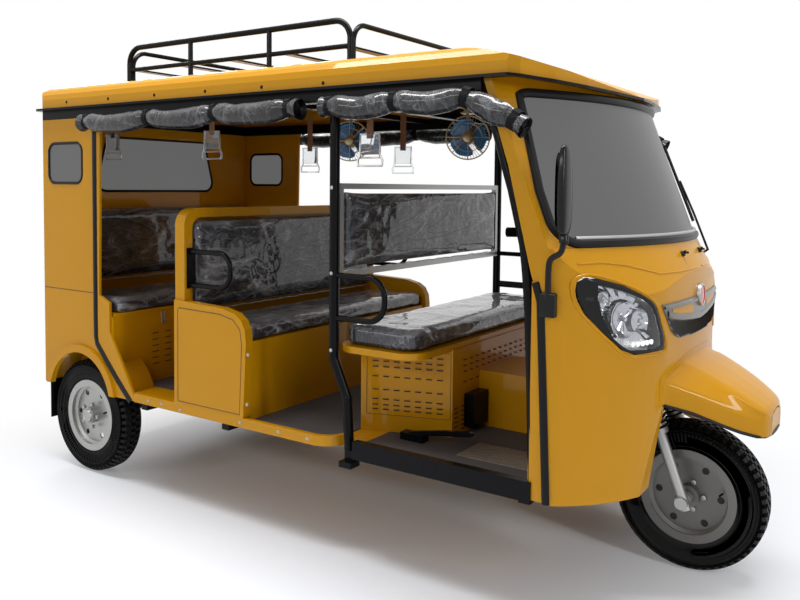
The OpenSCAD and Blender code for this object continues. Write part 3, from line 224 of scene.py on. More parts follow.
def dust_group():
    tree, given, out = group("road_dust", [("Top", "NodeSocketFloat", 0.6), ("Amount", "NodeSocketFloat", 0.3)],
                             [("Mask", "NodeSocketFloat")])
    where = tree.nodes.new("ShaderNodeTexCoord").outputs["Object"]
    split = tree.nodes.new("ShaderNodeSeparateXYZ")
    tree.links.new(where, split.inputs[0])
    low = math_node(tree, "SUBTRACT", given.outputs["Top"], split.outputs["Z"])
    low = math_node(tree, "DIVIDE", low, given.outputs["Top"], clamp=True)
    spots = math_node(tree, "MULTIPLY", noise_node(tree, where, 9.0, 6.0), 1.6)
    mask = math_node(tree, "MULTIPLY", math_node(tree, "MULTIPLY", low, spots), given.outputs["Amount"], clamp=True)
    tree.links.new(mask, out.inputs["Mask"])
    return tree


def grain_group():
    tree, given, out = group("fine_grain",
                             [("Scale", "NodeSocketFloat", 400.0), ("Strength", "NodeSocketFloat", 0.1)],
                             [("Mask", "NodeSocketFloat"), ("Normal", "NodeSocketVector")])
    where = tree.nodes.new("ShaderNodeTexCoord").outputs["Object"]
    spots = noise_node(tree, where, given.outputs["Scale"], 3.0)
    bump = tree.nodes.new("ShaderNodeBump")
    bump.inputs["Distance"].default_value = 0.001
    tree.links.new(given.outputs["Strength"], bump.inputs["Strength"])
    tree.links.new(spots, bump.inputs["Height"])
    tree.links.new(spots, out.inputs["Mask"])
    tree.links.new(bump.outputs[0], out.inputs["Normal"])
    return tree


def crinkle_group():
    """Folds of clear film: long drawn lines where a slow noise crosses its middle value, with finer ones between.
    The lines shape the bump, and a gated copy of them is the mask for painted highlight streaks in the colour
    """
    tree, given, out = group("film_crinkle",
                             [("Scale", "NodeSocketFloat", 1.0), ("Strength", "NodeSocketFloat", 0.6)],
                             [("Ridge", "NodeSocketFloat"), ("Normal", "NodeSocketVector")])
    where = tree.nodes.new("ShaderNodeTexCoord").outputs["Object"]
    sized = tree.nodes.new("ShaderNodeVectorMath")
    sized.operation = "SCALE"
    tree.links.new(where, sized.inputs[0])
    tree.links.new(given.outputs["Scale"], sized.inputs["Scale"])
    lines = []
    for turn, stretch, sharp, weight in (((0.4, 0.9, 0.5), (7.5, 1.5, 5.0), 14.0, 1.0),
                                         ((0.2, -0.8, 0.3), (20.0, 4.0, 12.0), 9.0, 0.5),
                                         ((1.1, 0.3, -0.6), (50.0, 13.0, 34.0), 8.0, 0.28)):
        lean = tree.nodes.new("ShaderNodeMapping")
        lean.inputs["Rotation"].default_value = turn
        lean.inputs["Scale"].default_value = stretch
        tree.links.new(sized.outputs[0], lean.inputs["Vector"])
        flow = noise_node(tree, lean.outputs[0], 1.0, 1.5, 0.9)
        off = math_node(tree, "ABSOLUTE", math_node(tree, "SUBTRACT", flow, 0.5))
        line = math_node(tree, "SUBTRACT", 1.0, math_node(tree, "MULTIPLY", off, sharp * 2), clamp=True)
        lines.append(math_node(tree, "MULTIPLY", math_node(tree, "POWER", line, 1.6), weight))
    sum_up = math_node(tree, "ADD", math_node(tree, "ADD", lines[0], lines[1]), lines[2])
    gate = math_node(tree, "MULTIPLY", math_node(tree, "SUBTRACT", noise_node(tree, sized.outputs[0], 5.0, 2.0),
                                                 0.40), 5.0, clamp=True)
    # The gated lines are the mask for painted highlight streaks in the colour; the bump does not use it.
    painted_streaks = math_node(tree, "MULTIPLY", sum_up, gate, clamp=True)
    bump = tree.nodes.new("ShaderNodeBump")
    bump.inputs["Distance"].default_value = 0.008
    tree.links.new(given.outputs["Strength"], bump.inputs["Strength"])
    tree.links.new(math_node(tree, "ADD", sum_up, noise_node(tree, sized.outputs[0], 16.0, 2.0)),
                   bump.inputs["Height"])
    tree.links.new(painted_streaks, out.inputs["Ridge"])
    tree.links.new(bump.outputs[0], out.inputs["Normal"])
    return tree


DUST, GRAIN, CRINKLE = dust_group(), grain_group(), crinkle_group()
print("effects:", [g.name for g in bpy.data.node_groups])

# %% [markdown]
# One function makes every finish: a base colour that drifts a little, road dust near the ground, a fine grain in
# the bump, and clear coat where the real part is lacquered. On the film finishes it also paints light: a pale
# sheen on faces that point up and pale highlight streaks along the folds.

# %% Finishes
DUST_COLOUR = (0.30, 0.25, 0.19, 1)


def use(tree, source, **values):
    node = tree.nodes.new("ShaderNodeGroup")
    node.node_tree = source
    for label, value in values.items():
        node.inputs[label].default_value = value
    return node


def mix_colour(tree, factor, a, b):
    node = tree.nodes.new("ShaderNodeMix")
    node.data_type = "RGBA"
    for socket, value in ((node.inputs[0], factor), (node.inputs[6], a), (node.inputs[7], b)):
        if isinstance(value, (int, float, tuple)):
            socket.default_value = value
        else:
            tree.links.new(value, socket)
    return node.outputs[2]


def finish(name, colour, rough=0.5, metal=0.0, coat=0.0, drift=0.08, dust=0.0, dust_top=0.6, grain=400.0,
           bump=0.05, crinkle=0.0, crinkle_scale=1.0, alpha=1.0, transmission=0.0, glow=0.0, ior=1.45,
           gloss=0.5, painted_sheen=0.0):
    material = bpy.data.materials.new(name)
    material.use_nodes = True
    tree = material.node_tree
    shader = tree.nodes["Principled BSDF"]
    fine = use(tree, GRAIN, Scale=grain, Strength=bump)
    base = (*colour, 1)
    dark = tuple(c * (1 - drift) for c in colour) + (1,)
    where = tree.nodes.new("ShaderNodeTexCoord").outputs["Object"]
    patches = noise_node(tree, where, 3.0, 5.0)
    shown = mix_colour(tree, patches, dark, base)
    roughness = math_node(tree, "ADD", math_node(tree, "MULTIPLY", patches, rough * 0.25), rough * 0.87)
    if dust:
        mask = use(tree, DUST, Top=dust_top, Amount=dust).outputs["Mask"]
        shown = mix_colour(tree, mask, shown, DUST_COLOUR)
        roughness = math_node(tree, "ADD", roughness, math_node(tree, "MULTIPLY", mask, 0.4), clamp=True)
    normal = fine.outputs["Normal"]
    if crinkle:
        folds = use(tree, CRINKLE, Scale=crinkle_scale, Strength=crinkle)
        up = tree.nodes.new("ShaderNodeSeparateXYZ")
        tree.links.new(tree.nodes.new("ShaderNodeNewGeometry").outputs["Normal"], up.inputs[0])
        # Painted sheen: faces that point up are mixed towards pale grey, a painted reflection of the overhead light
        # on the film; painted_sheen sets how much.
        lit = math_node(tree, "MULTIPLY", math_node(tree, "MAXIMUM", up.outputs["Z"], 0.12), painted_sheen)
        film = math_node(tree, "MULTIPLY", lit, math_node(tree, "ADD", patches, 0.35), clamp=True)
        shown = mix_colour(tree, film, shown, (0.60, 0.61, 0.66, 1))
        # Painted highlights: the fold lines are mixed towards pale grey streaks.
        shown = mix_colour(tree, math_node(tree, "MULTIPLY", folds.outputs["Ridge"], painted_sheen * 1.5 + 0.05), shown,
                           (0.66, 0.67, 0.72, 1))
        normal = folds.outputs["Normal"]
    tree.links.new(shown, shader.inputs["Base Color"])
    tree.links.new(roughness, shader.inputs["Roughness"])
    tree.links.new(normal, shader.inputs["Normal"])
    shader.inputs["Metallic"].default_value = metal
    shader.inputs["Coat Weight"].default_value = coat
    shader.inputs["Coat Roughness"].default_value = 0.03
    shader.inputs["IOR"].default_value = ior
    shader.inputs["Specular IOR Level"].default_value = gloss
    shader.inputs["Alpha"].default_value = alpha
    shader.inputs["Transmission Weight"].default_value = transmission
    if glow:
        shader.inputs["Emission Color"].default_value = (*colour, 1)
        shader.inputs["Emission Strength"].default_value = glow
    return material


YELLOW = (0.54, 0.248, 0.002)
enamel = finish("yellow_enamel", YELLOW, rough=0.35, coat=0.32, drift=0.06, dust=0.012, bump=0.012, grain=60,
                gloss=0.08)
black = finish("black_enamel", (0.003, 0.003, 0.004), rough=0.24, dust=0.008, bump=0.03, gloss=0.13)
silver = finish("silver_paint", (0.42, 0.42, 0.41), rough=0.36, metal=0.8, dust=0.12, dust_top=0.5, bump=0.04)
wheel_grey = finish("wheel_grey", (0.155, 0.153, 0.145), rough=0.40, metal=0.55, dust=0.1, bump=0.05)
hub_dark = finish("hub_dark", (0.012, 0.012, 0.012), rough=0.7, dust=0.1)
iron = finish("chassis_iron", (0.008, 0.008, 0.008), rough=0.6, metal=0.1, dust=0.1, bump=0.3, gloss=0.2)
tyre = finish("tyre_rubber", (0.0045, 0.0045, 0.005), rough=0.5, dust=0.02, dust_top=0.5, bump=0.2, grain=260,
              gloss=0.22)
seal = finish("seal_rubber", (0.003, 0.003, 0.004), rough=0.35, bump=0.05, gloss=0.22)
mat_rubber = finish("ribbed_mat", (0.058, 0.053, 0.056), rough=0.72, dust=0.1, dust_top=0.9, bump=0.3, grain=120,
                    gloss=0.3)
# The window glass glows: its emission paints the panes an even flat grey, painted light standing in for what the
# lamps would show in the glass.
glass = finish("window_glass", (0.022, 0.022, 0.022), rough=0.35, drift=0.01, bump=0.0, glow=5.2, gloss=0.1)
clear = finish("clear_lens", (0.95, 0.97, 1.0), rough=0.03, drift=0.0, bump=0.0, transmission=1.0, ior=1.3)
red_lens = finish("red_lens", (0.42, 0.012, 0.010), rough=0.12, coat=0.6, bump=0.02)
grey_trim = finish("grey_trim", (0.115, 0.112, 0.100), rough=0.3, coat=0.2, bump=0.03)
plastic = finish("black_plastic", (0.004, 0.004, 0.005), rough=0.38, bump=0.1, gloss=0.25)
chrome = finish("chrome", (0.50, 0.50, 0.51), rough=0.07, metal=1.0, drift=0.1, bump=0.0)
# Both film finishes carry painted light: a pale painted sheen on their upward faces and pale painted highlight
# streaks along the folds.
vinyl = finish("seat_vinyl_in_film", (0.016, 0.018, 0.026), rough=0.3, coat=0.9, drift=0.35, crinkle=1.0, painted_sheen=0.34,
               gloss=0.2)
curtain = finish("curtain_film", (0.007, 0.007, 0.008), rough=0.3, coat=0.6, drift=0.4, crinkle=0.8,
                 crinkle_scale=1.4, painted_sheen=0.10, gloss=0.2)
strap = finish("black_strap", (0.003, 0.003, 0.004), rough=0.8, bump=0.4, grain=900, gloss=0.2)
wire = finish("brassy_wire", (0.42, 0.33, 0.20), rough=0.35, metal=0.9)
blade = finish("blue_blade", (0.015, 0.23, 0.56), rough=0.2, coat=0.5)
clear_film = finish("clear_film_edge", (0.55, 0.56, 0.58), rough=0.15, coat=1.0, bump=0.3, alpha=0.7)
clear_plastic = finish("clear_plastic", (0.93, 0.95, 0.97), rough=0.06, drift=0.0, bump=0.0, transmission=0.9,
                       ior=1.25)
seam_dark = finish("seam_shadow", (0.16, 0.075, 0.006), rough=0.6)
slot_dark = finish("slot_shadow", (0.035, 0.018, 0.006), rough=0.8)
gloss_black = finish("gloss_black", (0.003, 0.003, 0.004), rough=0.15, bump=0.01, gloss=0.3)
plate_steel = finish("chequered_steel", (0.20, 0.17, 0.145), rough=0.42, metal=0.6, dust=0.4, dust_top=1.2)
strap_brown = finish("brown_strap", (0.20, 0.085, 0.035), rough=0.7, bump=0.4, grain=900)
led = finish("led_lens", (1.0, 0.99, 0.96), rough=0.1, glow=0.5, bump=0.0)
LOOKS = {"body_paint": enamel, "black_frame": black, "bare_steel": silver, "axle_iron": iron, "tyre_rubber": tyre,
         "mat_rubber": mat_rubber, "window_glass": glass, "lamp_lens": clear, "red_lens": red_lens,
         "grille_plastic": grey_trim, "black_plastic": plastic, "seat_vinyl": vinyl, "curtain_sheet": curtain,
         "fan_wire": wire, "fan_blade": blade}
for part in frame["record"]["subparts"]:
    solid = frame["nodes"][part["node"]]
    solid.data.materials.clear()
    solid.data.materials.append(LOOKS[part["material_slot"]])
frame["nodes"]["front_rim"].data.materials[0] = wheel_grey
print(len(LOOKS), "finishes on", len(frame["nodes"]), "parts")

# %% [markdown]
# Every added piece starts as a primitive, a grid or a line, is shaped, and ends at the model's own origin with its
# finish, riding on the body it belongs to. These tools do the steps that repeat.

# %% Bench tools


def take(*chosen):
    deselect()
    for obj in chosen:
        obj.select_set(True)
    bpy.context.view_layer.objects.active = chosen[0]


def modify(obj, kind, **values):
    take(obj)
    step = obj.modifiers.new(kind.lower(), kind)
    for key, value in values.items():
        setattr(step, key, value)
    ops.modifier_apply(modifier=step.name)


def done(obj, look, body="vehicle", sharp=35):
    take(obj)
    ops.transform_apply(location=True, rotation=True, scale=True)
    obj.data.materials.clear()
    obj.data.materials.append(look)
    ops.shade_smooth_by_angle(angle=math.radians(sharp))
    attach(obj, body)
    return obj


def block(name, low, high, soft=2.0, rounds=2):
    """A box between two corners, in millimetres, with its edges bevelled"""
    deselect()
    mesh_ops.primitive_cube_add(size=1, location=(at(*low) + at(*high)) / 2)
    obj = bpy.context.object
    obj.name = name
    obj.scale = [abs(b - a) / 1000 for a, b in zip(low, high)]
    ops.transform_apply(location=True, rotation=True, scale=True)
    modify(obj, "BEVEL", width=soft / 1000, segments=rounds)
    return obj


def bar(name, lines, width, closed=False, sides=2, smooth=False):
    """Round bar or cord along lines of points"""
    curve = bpy.data.curves.new(name, "CURVE")
    curve.dimensions = "3D"
    curve.bevel_depth, curve.bevel_resolution, curve.use_fill_caps = width / 2000, sides, True
    curve.resolution_u = 5
    for line in lines:
        spline = curve.splines.new("NURBS" if smooth else "POLY")
        spline.points.add(len(line) - 1)
        for point, place in zip(spline.points, line):
            point.co = (*place, 1)
        spline.use_cyclic_u = closed
        if smooth:
            spline.order_u, spline.use_endpoint_u = 4, not closed
    obj = bpy.data.objects.new(name, curve)
    bpy.context.scene.collection.objects.link(obj)
    take(obj)
    ops.convert(target="MESH")
    return bpy.context.object


def shaped(name, across, along, place, weld=True):
    """A grid whose corners are moved to place(u, v), with u and v from 0 to 1"""
    deselect()
    mesh_ops.primitive_grid_add(x_subdivisions=across, y_subdivisions=along, size=1)
    obj = bpy.context.object
    obj.name = name
    for corner in obj.data.vertices:
        corner.co = place(corner.co.x + 0.5, corner.co.y + 0.5)
    if weld:
        ops.mode_set(mode="EDIT")
        mesh_ops.select_all(action="SELECT")
        mesh_ops.remove_doubles(threshold=0.00005)
        mesh_ops.normals_make_consistent(inside=False)
        ops.mode_set(mode="OBJECT")
    return obj


def turned(name, middle, axis, profile, steps=32):
    """A turned piece: (radius, distance along the axis) in mm, from one end to the other"""
    turn = Vector(axis).to_track_quat("Z", "Y")

    def place(u, v):
        step = v * (len(profile) - 1)
        first = min(int(step), len(profile) - 2)
        (r0, a0), (r1, a1) = profile[first], profile[first + 1]
        r, along = r0 + (r1 - r0) * (step - first), a0 + (a1 - a0) * (step - first)
        return middle + turn @ Vector((r * math.cos(u * math.tau), r * math.sin(u * math.tau), along)) / 1000
    return shaped(name, steps, len(profile) - 1, place)


def repeat(obj, name, places):
    """Copies of one small piece, each with its own mesh, joined"""
    copies = []
    for matrix in places:
        twin = obj.copy()
        twin.data = obj.data.copy()
        bpy.context.scene.collection.objects.link(twin)
        twin.matrix_world = matrix
        copies.append(twin)
    bpy.data.objects.remove(obj)
    take(*copies)
    ops.join()
    bpy.context.object.name = name
    return bpy.context.object


def together(name, *chosen):
    take(*chosen)
    if len(chosen) > 1:
        ops.join()
    bpy.context.object.name = name
    return bpy.context.object


def skin(node, kept={}):
    """A part's surface, ready for lines to be cast at it"""
    if node not in kept:
        solid = frame["nodes"][node]
        kept[node] = BVHTree.FromPolygons([solid.matrix_world @ v.co for v in solid.data.vertices],
                                          [list(face.vertices) for face in solid.data.polygons])
    return kept[node]


def front_of(node, y, z):
    """Where a line from ahead at y and z first meets a part, or the nearest place on it"""
    place = skin(node).ray_cast(at(3300, y, z), Vector((-1, 0, 0)))[0]
    return place or skin(node).find_nearest(at(2560, y, z))[0]


def edges_of(name, node, keep, width):
    """A seal along a part's sharp edges: the edges are copied off the part and given a round section"""
    source = frame["nodes"][node]
    obj = source.copy()
    obj.data = source.data.copy()
    obj.parent = None
    bpy.context.scene.collection.objects.link(obj)
    obj.matrix_world = source.matrix_world
    obj.name = name
    take(obj)
    ops.transform_apply(location=True, rotation=True, scale=True)
    ops.mode_set(mode="EDIT")
    mesh_ops.select_all(action="SELECT")
    mesh_ops.remove_doubles(threshold=0.00002)
    mesh_ops.select_all(action="DESELECT")
    mesh_ops.select_mode(type="EDGE")
    mesh_ops.edges_select_sharp(sharpness=math.radians(50))
    mesh_ops.select_all(action="INVERT")
    mesh_ops.delete(type="EDGE")
    ops.mode_set(mode="OBJECT")
    for corner in obj.data.vertices:
        corner.select = not keep(corner.co)
    ops.mode_set(mode="EDIT")
    mesh_ops.select_mode(type="VERT")
    mesh_ops.delete(type="VERT")
    ops.mode_set(mode="OBJECT")
    ops.convert(target="CURVE")
    obj = bpy.context.object
    obj.data.bevel_depth, obj.data.bevel_resolution = width / 2000, 3
    ops.convert(target="MESH")
    return bpy.context.object


print("tools ready")

# %% [markdown]
# A road tyre is a ring of rubber with blocks cut into it. Here a section is spun round the hub, and then every
# second face of the tread is pushed out, so the blocks stand along the shoulder and show at the rim of the wheel.

# %% Tyres
TYRE_SECTION = [(157, 40), (175, 46), (200, 53), (222, 55.5), (240, 55), (252, 51), (258, 46), (263, 38), (264, 26),
                (265, 13), (265, 0)]
BLOCKS = 54


def tread_tyre(name, node, middle, body):
    half = [(r, -a) for r, a in TYRE_SECTION]
    full = half + [(r, -a) for r, a in reversed(half[:-1])]
    obj = turned(name, middle, (0, 1, 0), full, steps=BLOCKS * 2)
    count = BLOCKS * 2
    for face in obj.data.polygons:
        spot = (face.center - middle) * 1000
        round_at = int(math.degrees(math.atan2(spot.z, spot.x)) % 360 / 360 * count)
        r, out = math.hypot(spot.x, spot.z), abs(spot.y)
        shoulder = out > 31 and r > 249
        row = (round_at + (1 if spot.y > 0 else 0)) % 2
        centre = out <= 31 and r > 255 and (round_at // 1 + int(out > 13)) % 2 == 0
        face.select = (shoulder and row == 0) or centre
    take(obj)
    bpy.context.tool_settings.mesh_select_mode = (False, False, True)
    ops.mode_set(mode="EDIT")
    mesh_ops.extrude_region_shrink_fatten(TRANSFORM_OT_shrink_fatten={"value": 0.0045})
    mesh_ops.select_all(action="DESELECT")
    ops.mode_set(mode="OBJECT")
    beads = [turned(f"{name}_line_{i}", middle, (0, 1, 0), [(r, a * s), (r + 2, (a + 1.6) * s), (r + 4, a * s)], 96)
             for i, (r, a) in enumerate(((182, 48.4), (228, 55.4))) for s in (-1, 1)]
    obj = together(name, obj, *beads)
    done(obj, tyre, body, 25)
    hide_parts(node)


WHEELS = {"front": (at(2650, 0, 270), "front_wheel"), "right_rear": (at(0, -622, 270), "right_rear_wheel"),
          "left_rear": (at(0, 622, 270), "left_rear_wheel")}
for label, (middle, body) in WHEELS.items():
    tread_tyre(f"{label}_tread_tyre", f"{label}_tyre", middle, body)
for label, (middle, body) in WHEELS.items():
    if label == "front":
        drums = [turned("drum", middle, (0, side, 0), [(126, 6), (126, 12), (118, 14), (70, 15), (40, 15)],
                        64) for side in (-1, 1)]
        drum = together("front_brake_drum", *drums)
        modify(drum, "SOLIDIFY", thickness=0.002, offset=-1)
        done(drum, hub_dark, body)
print("tyres with", BLOCKS, "blocks a row")

# %% [markdown]
# Pressed steel wheels are held by nuts on studs, with a cap over the bearing. The nuts are one hexagon, bevelled
# and set out on the bolt circle.

# %% Wheel nuts and caps


def nuts(name, middle, axis, radius, count, size, tall, turn=0.0):
    deselect()
    mesh_ops.primitive_cylinder_add(vertices=6, radius=size / 2000, depth=tall / 1000)
    nut = bpy.context.object
    modify(nut, "BEVEL", width=0.0012, segments=2)
    seat = Vector(axis).to_track_quat("Z", "Y").to_matrix().to_4x4()
    return repeat(nut, name, [Matrix.Translation(middle) @ seat @ Matrix.Rotation(turn + i * math.tau / count, 4,
            "Z")
                              @ Matrix.Translation((radius / 1000, 0, tall / 2000)) for i in range(count)])


for label, (middle, body) in WHEELS.items():
    faces = ((-1, 30), (1, 30)) if label == "front" else ((-1 if label[0] == "r" else 1, 0),)
    for side, _ in faces:
        out = Vector((0, side, 0))
        lo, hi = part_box(f"{label}_rim")
        if label == "front":
            seat = middle + out * 0.016
            piece = nuts(f"{label}_nuts_{'r' if side < 0 else 'l'}", seat, out, 52, 5, 20, 14)
        else:
            seat = middle + out * 0.036
            ring = nuts(f"{label}_nuts", seat, out, 57, 5, 20, 16)
            cap = turned(f"{label}_cap", middle + out * 0.047, out,
                         [(33, 0), (33, 12), (30, 18), (24, 21), (22, 21), (20, 19), (0, 19)], 32)
            piece = together(f"{label}_nuts", ring, cap)
        done(piece, silver, body)
    valve_side = faces[0][0]
    valve = bar(f"{label}_valve", [[middle + Vector((0.118, valve_side * 0.030, 0.03)),
                                    middle + Vector((0.112, valve_side * 0.052, 0.028))]], 8, sides=3)
    done(valve, seal, body)
print("wheel pieces on", len(WHEELS), "wheels")

# %% [markdown]
# The seats are foam slabs in dark vinyl, still in their clear film. Each cushion's hard stand-in is copied, given
# an even skin, and puffed a little as cloth, so its edges soften and its faces swell the way foam does.

# %% Cushions
PADS = {"driver_cushion": "vehicle", "driver_back_pad": "vehicle", "middle_cushion": "vehicle",
        "middle_back_pad": "vehicle", "rear_cushion": "seat_lid", "rear_back_pad": "vehicle"}


def puffed(node, body):
    source = frame["nodes"][node]
    obj = source.copy()
    obj.data = source.data.copy()
    obj.parent = None
    bpy.context.scene.collection.objects.link(obj)
    obj.matrix_world = source.matrix_world
    obj.name = f"{node}_soft"
    take(obj)
    ops.transform_apply(location=True, rotation=True, scale=True)
    low, high = [Vector(v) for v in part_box(node)]
    middle, size = (low + high) / 2, high - low
    for corner in obj.data.vertices:
        corner.co = middle + Vector([(c - m) * (1 - 0.008 / s) for c, m, s in zip(corner.co, middle, size)])
    modify(obj, "REMESH", mode="VOXEL", voxel_size=0.012)
    cloth = obj.modifiers.new("puff", "CLOTH")
    cloth.settings.use_pressure, cloth.settings.uniform_pressure_force = True, 3.2
    cloth.settings.effector_weights.gravity = 0
    cloth.settings.mass, cloth.settings.tension_stiffness = 0.3, 25
    cloth.point_cache.frame_start, cloth.point_cache.frame_end = 1, 14
    before = [v.co.copy() for v in obj.data.vertices]
    for step in range(1, 15):
        bpy.context.scene.frame_set(step)
        bpy.context.view_layer.update()
    take(obj)
    ops.modifier_apply(modifier="puff")
    for corner, start in zip(obj.data.vertices, before):
        move = corner.co - start
        if move.length > 0.012:
            corner.co = start + move * (0.012 / move.length)
    bpy.context.scene.frame_set(1)
    for corner in obj.data.vertices:
        place = corner.co * 5.5
        fold = noise.fractal(place * 2.0, 0.9, 2.1, 3)
        sag = noise.noise(place * 0.6)
        away = (corner.co - middle)
        flat = min(range(3), key=lambda i: size[i])
        push = Vector((0, 0, 0))
        push[flat] = math.copysign(1, away[flat]) * (0.0022 * fold + 0.002 * sag - 0.002)
        corner.co += push
    modify(obj, "SUBSURF", levels=1)
    modify(obj, "SMOOTH", iterations=2)
    done(obj, vinyl, body, 180)
    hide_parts(node)
    return len(obj.data.polygons)


for node, body in PADS.items():
    print(node, puffed(node, body), "faces")

# %% [markdown]
# A thin edge of film, like piping, is gathered along the bottom of each back pad.

# %% Film edges


def film_edge(name, node, x, low_z, half, body="vehicle"):
    line = [at(x + 3 * math.sin(i * 2.1), -half + 2 * half * i / 60,
               low_z + 2.2 * math.sin(i * 1.3) * math.sin(i * 0.37))
            for i in range(61)]
    done(bar(name, [line], 5, smooth=True), clear_film, body)


film_edge("middle_film_edge", "middle_back_pad", 708, 836, 628)
film_edge("driver_film_edge", "driver_back_pad", 1521, 1068, 608)
film_edge("rear_film_edge", "rear_back_pad", -238, 889, 622)

# %% [markdown]
# The side curtains are long sheets of clear film and black cloth, rolled up to the rail and strapped. Each is a
# real spiral here: flat, it is about a metre deep, and the straps pinch the roll so that it bulges between them.

# %% Rolled curtains
ROLL_TURNS, CORE = 5.5, 9.0
ROLL_R = 43.0


def rolled(name, path, straps, side):
    """path: points along the roll's middle; the roll is thinner at the straps and sags between them"""
    lengths = [0.0]
    for a, b in zip(path, path[1:]):
        lengths.append(lengths[-1] + (Vector(b) - Vector(a)).length)
    total = lengths[-1]

    def middle(t):
        d = t * total
        i = next((k for k in range(1, len(lengths)) if d <= lengths[k] + 1e-6), len(lengths) - 1)
        a, b = Vector(path[i - 1]), Vector(path[i])
        f = (d - lengths[i - 1]) / (lengths[i] - lengths[i - 1])
        return a.lerp(b, f), (b - a).normalized()

    def place(u, v):
        centre, along = middle(v)
        near = min(abs(v - s) for s in straps)
        pinch = 1 - 0.30 * math.exp(-(near * total / 34) ** 2)
        lump = 1 + 0.14 * noise.noise(Vector((v * total / 110, side * 3, 1.7)))
        r = (CORE + (ROLL_R - CORE) * u) * pinch * lump
        angle = u * ROLL_TURNS * math.tau - 1.9
        r += 2.4 * noise.noise(Vector((math.cos(angle) * 2 + u * 7, math.sin(angle) * 2, v * total / 46)))
        sag = -15 * (1 - math.exp(-(near * total / 90) ** 2))
        across = along.cross(Vector((0, 0, 1))).normalized()
        up = across.cross(along).normalized()
        spot = centre + (across * math.cos(angle) * side * -1 + up * math.sin(angle)) * r
        return at(spot.x, spot.y, spot.z + sag)
    obj = shaped(name, int(ROLL_TURNS * 22), int(total / 11), place, weld=False)
    done(obj, curtain, sharp=180)
    area = sum(face.area for face in obj.data.polygons)
    deep = math.ceil(area / (total / 1000) * 100) / 100
    return area, deep


def strap_ring(name, centre, along, radius, side):
    """A strap round a roll, standing a little off it over the top; the buckle is a separate block"""
    across = Vector(along).cross(Vector((0, 0, 1))).normalized()
    up = across.cross(Vector(along)).normalized()

    def place(u, v):
        angle = u * math.tau
        edge = (v - 0.5) * 26
        r = radius * (1.0 + (0.16 if 0.12 < u < 0.38 else 0.0))
        spot = Vector(centre) + (across * math.cos(angle) + up * math.sin(angle)) * r + Vector(along) * edge
        return at(*spot)
    ring = shaped(name, 28, 2, place)
    modify(ring, "SOLIDIFY", thickness=0.0022, offset=0)
    return ring


first_roll = None
for side, label in SIDES:
    y = side * 743
    rear_path = [(75, y, 1667), (400, y, 1670), (760, y, 1672), (1130, y, 1676), (1397, y, 1673)]
    front_path = [(1507, y, 1672), (1800, y, 1674), (2090, y, 1676), (2180, y, 1646), (2310, y, 1574)]
    for part, path, straps in (("rear", rear_path, (0.03, 0.35, 0.66, 0.96)),
                               ("front", front_path, (0.04, 0.38, 0.72, 0.95))):
        area, deep = rolled(f"{label}_{part}_curtain", path, straps, side)
        print(label, part, "curtain:", round(area, 3), "m2, drop", deep)
        total = sum((Vector(b) - Vector(a)).length for a, b in zip(path, path[1:]))
        rings = []
        for number, share in enumerate(straps):
            goal, run = share * total, 0.0
            for a, b in zip(path, path[1:]):
                a, b = Vector(a), Vector(b)
                if run + (b - a).length >= goal:
                    centre, along = a.lerp(b, (goal - run) / (b - a).length), (b - a).normalized()
                    break
                run += (b - a).length
            rings.append(strap_ring("strap", centre, along, 31.5, side))
            rings.append(block("buckle", centre + Vector((-13, side * 29 - 3, -12)),
                               centre + Vector((13, side * 29 + 5, 10)), 2))
        straps_piece = together(f"{label}_{part}_straps", *rings)
        done(straps_piece, strap)
        if first_roll is None:
            first_roll = straps_piece
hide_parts("curtain_rolls")

# %% [markdown]
# Glass in a pressed body sits in a rubber seal. The seal's line is the glass's own edge, copied off it, so it
# always fits: the flat windows get one ring on each face and the curved windscreen a thick one outside.

# %% Window seals
windows = edges_of("window_seals", "window_glass", lambda p: True, 15)
done(windows, seal)


def outer_pane(p):
    spot = (p.x - AXLE) * 1000, p.y * 1000, p.z * 1000
    ahead = (front_of("windscreen", spot[1] * 0.995, min(max(spot[2], 1214), 1690)).x - AXLE) * 1000
    return spot[0] > ahead - 4.2


done(edges_of("windscreen_seal", "windscreen", outer_pane, 32), seal)
low_line = []
for i in range(41):
    y = -610 + 1220 * i / 40
    low_line.append(front_of("windscreen", y, 1228) + Vector((0.0065, 0, 0.0)))
done(bar("windscreen_bright_strip", [low_line], 13, sides=3), silver)
print("seals:", len(windows.data.polygons), "faces round the flat windows")

# %% [markdown]
# Rubber channel is pushed over the panel edges at the doors, and thin pressed seams break up the big panels. Both
# are narrow bars laid on the panel's face.

# %% Door channels and seams


def strip(name, side, points, wide, thick, look, y=700.0):
    """A flat strip on the side panels, along points (x, z)"""
    low = []
    for i, (x, z) in enumerate(points):
        back = points[max(i - 1, 0)]
        ahead = points[min(i + 1, len(points) - 1)]
        run = Vector((ahead[0] - back[0], 0, ahead[1] - back[1])).normalized()
        low.append((Vector((x, 0, z)), Vector((run.z, 0, -run.x))))

    def place(u, v):
        i = round(v * (len(low) - 1))
        spot, across = low[i]
        face = (u - 0.5) * wide
        bulge = thick * (1 - (2 * u - 1) ** 4)
        return at(spot.x + across.x * face, side * (y + bulge), spot.z + across.z * face)
    obj = shaped(name, 8, len(points) - 1, place)
    return done(obj, look)


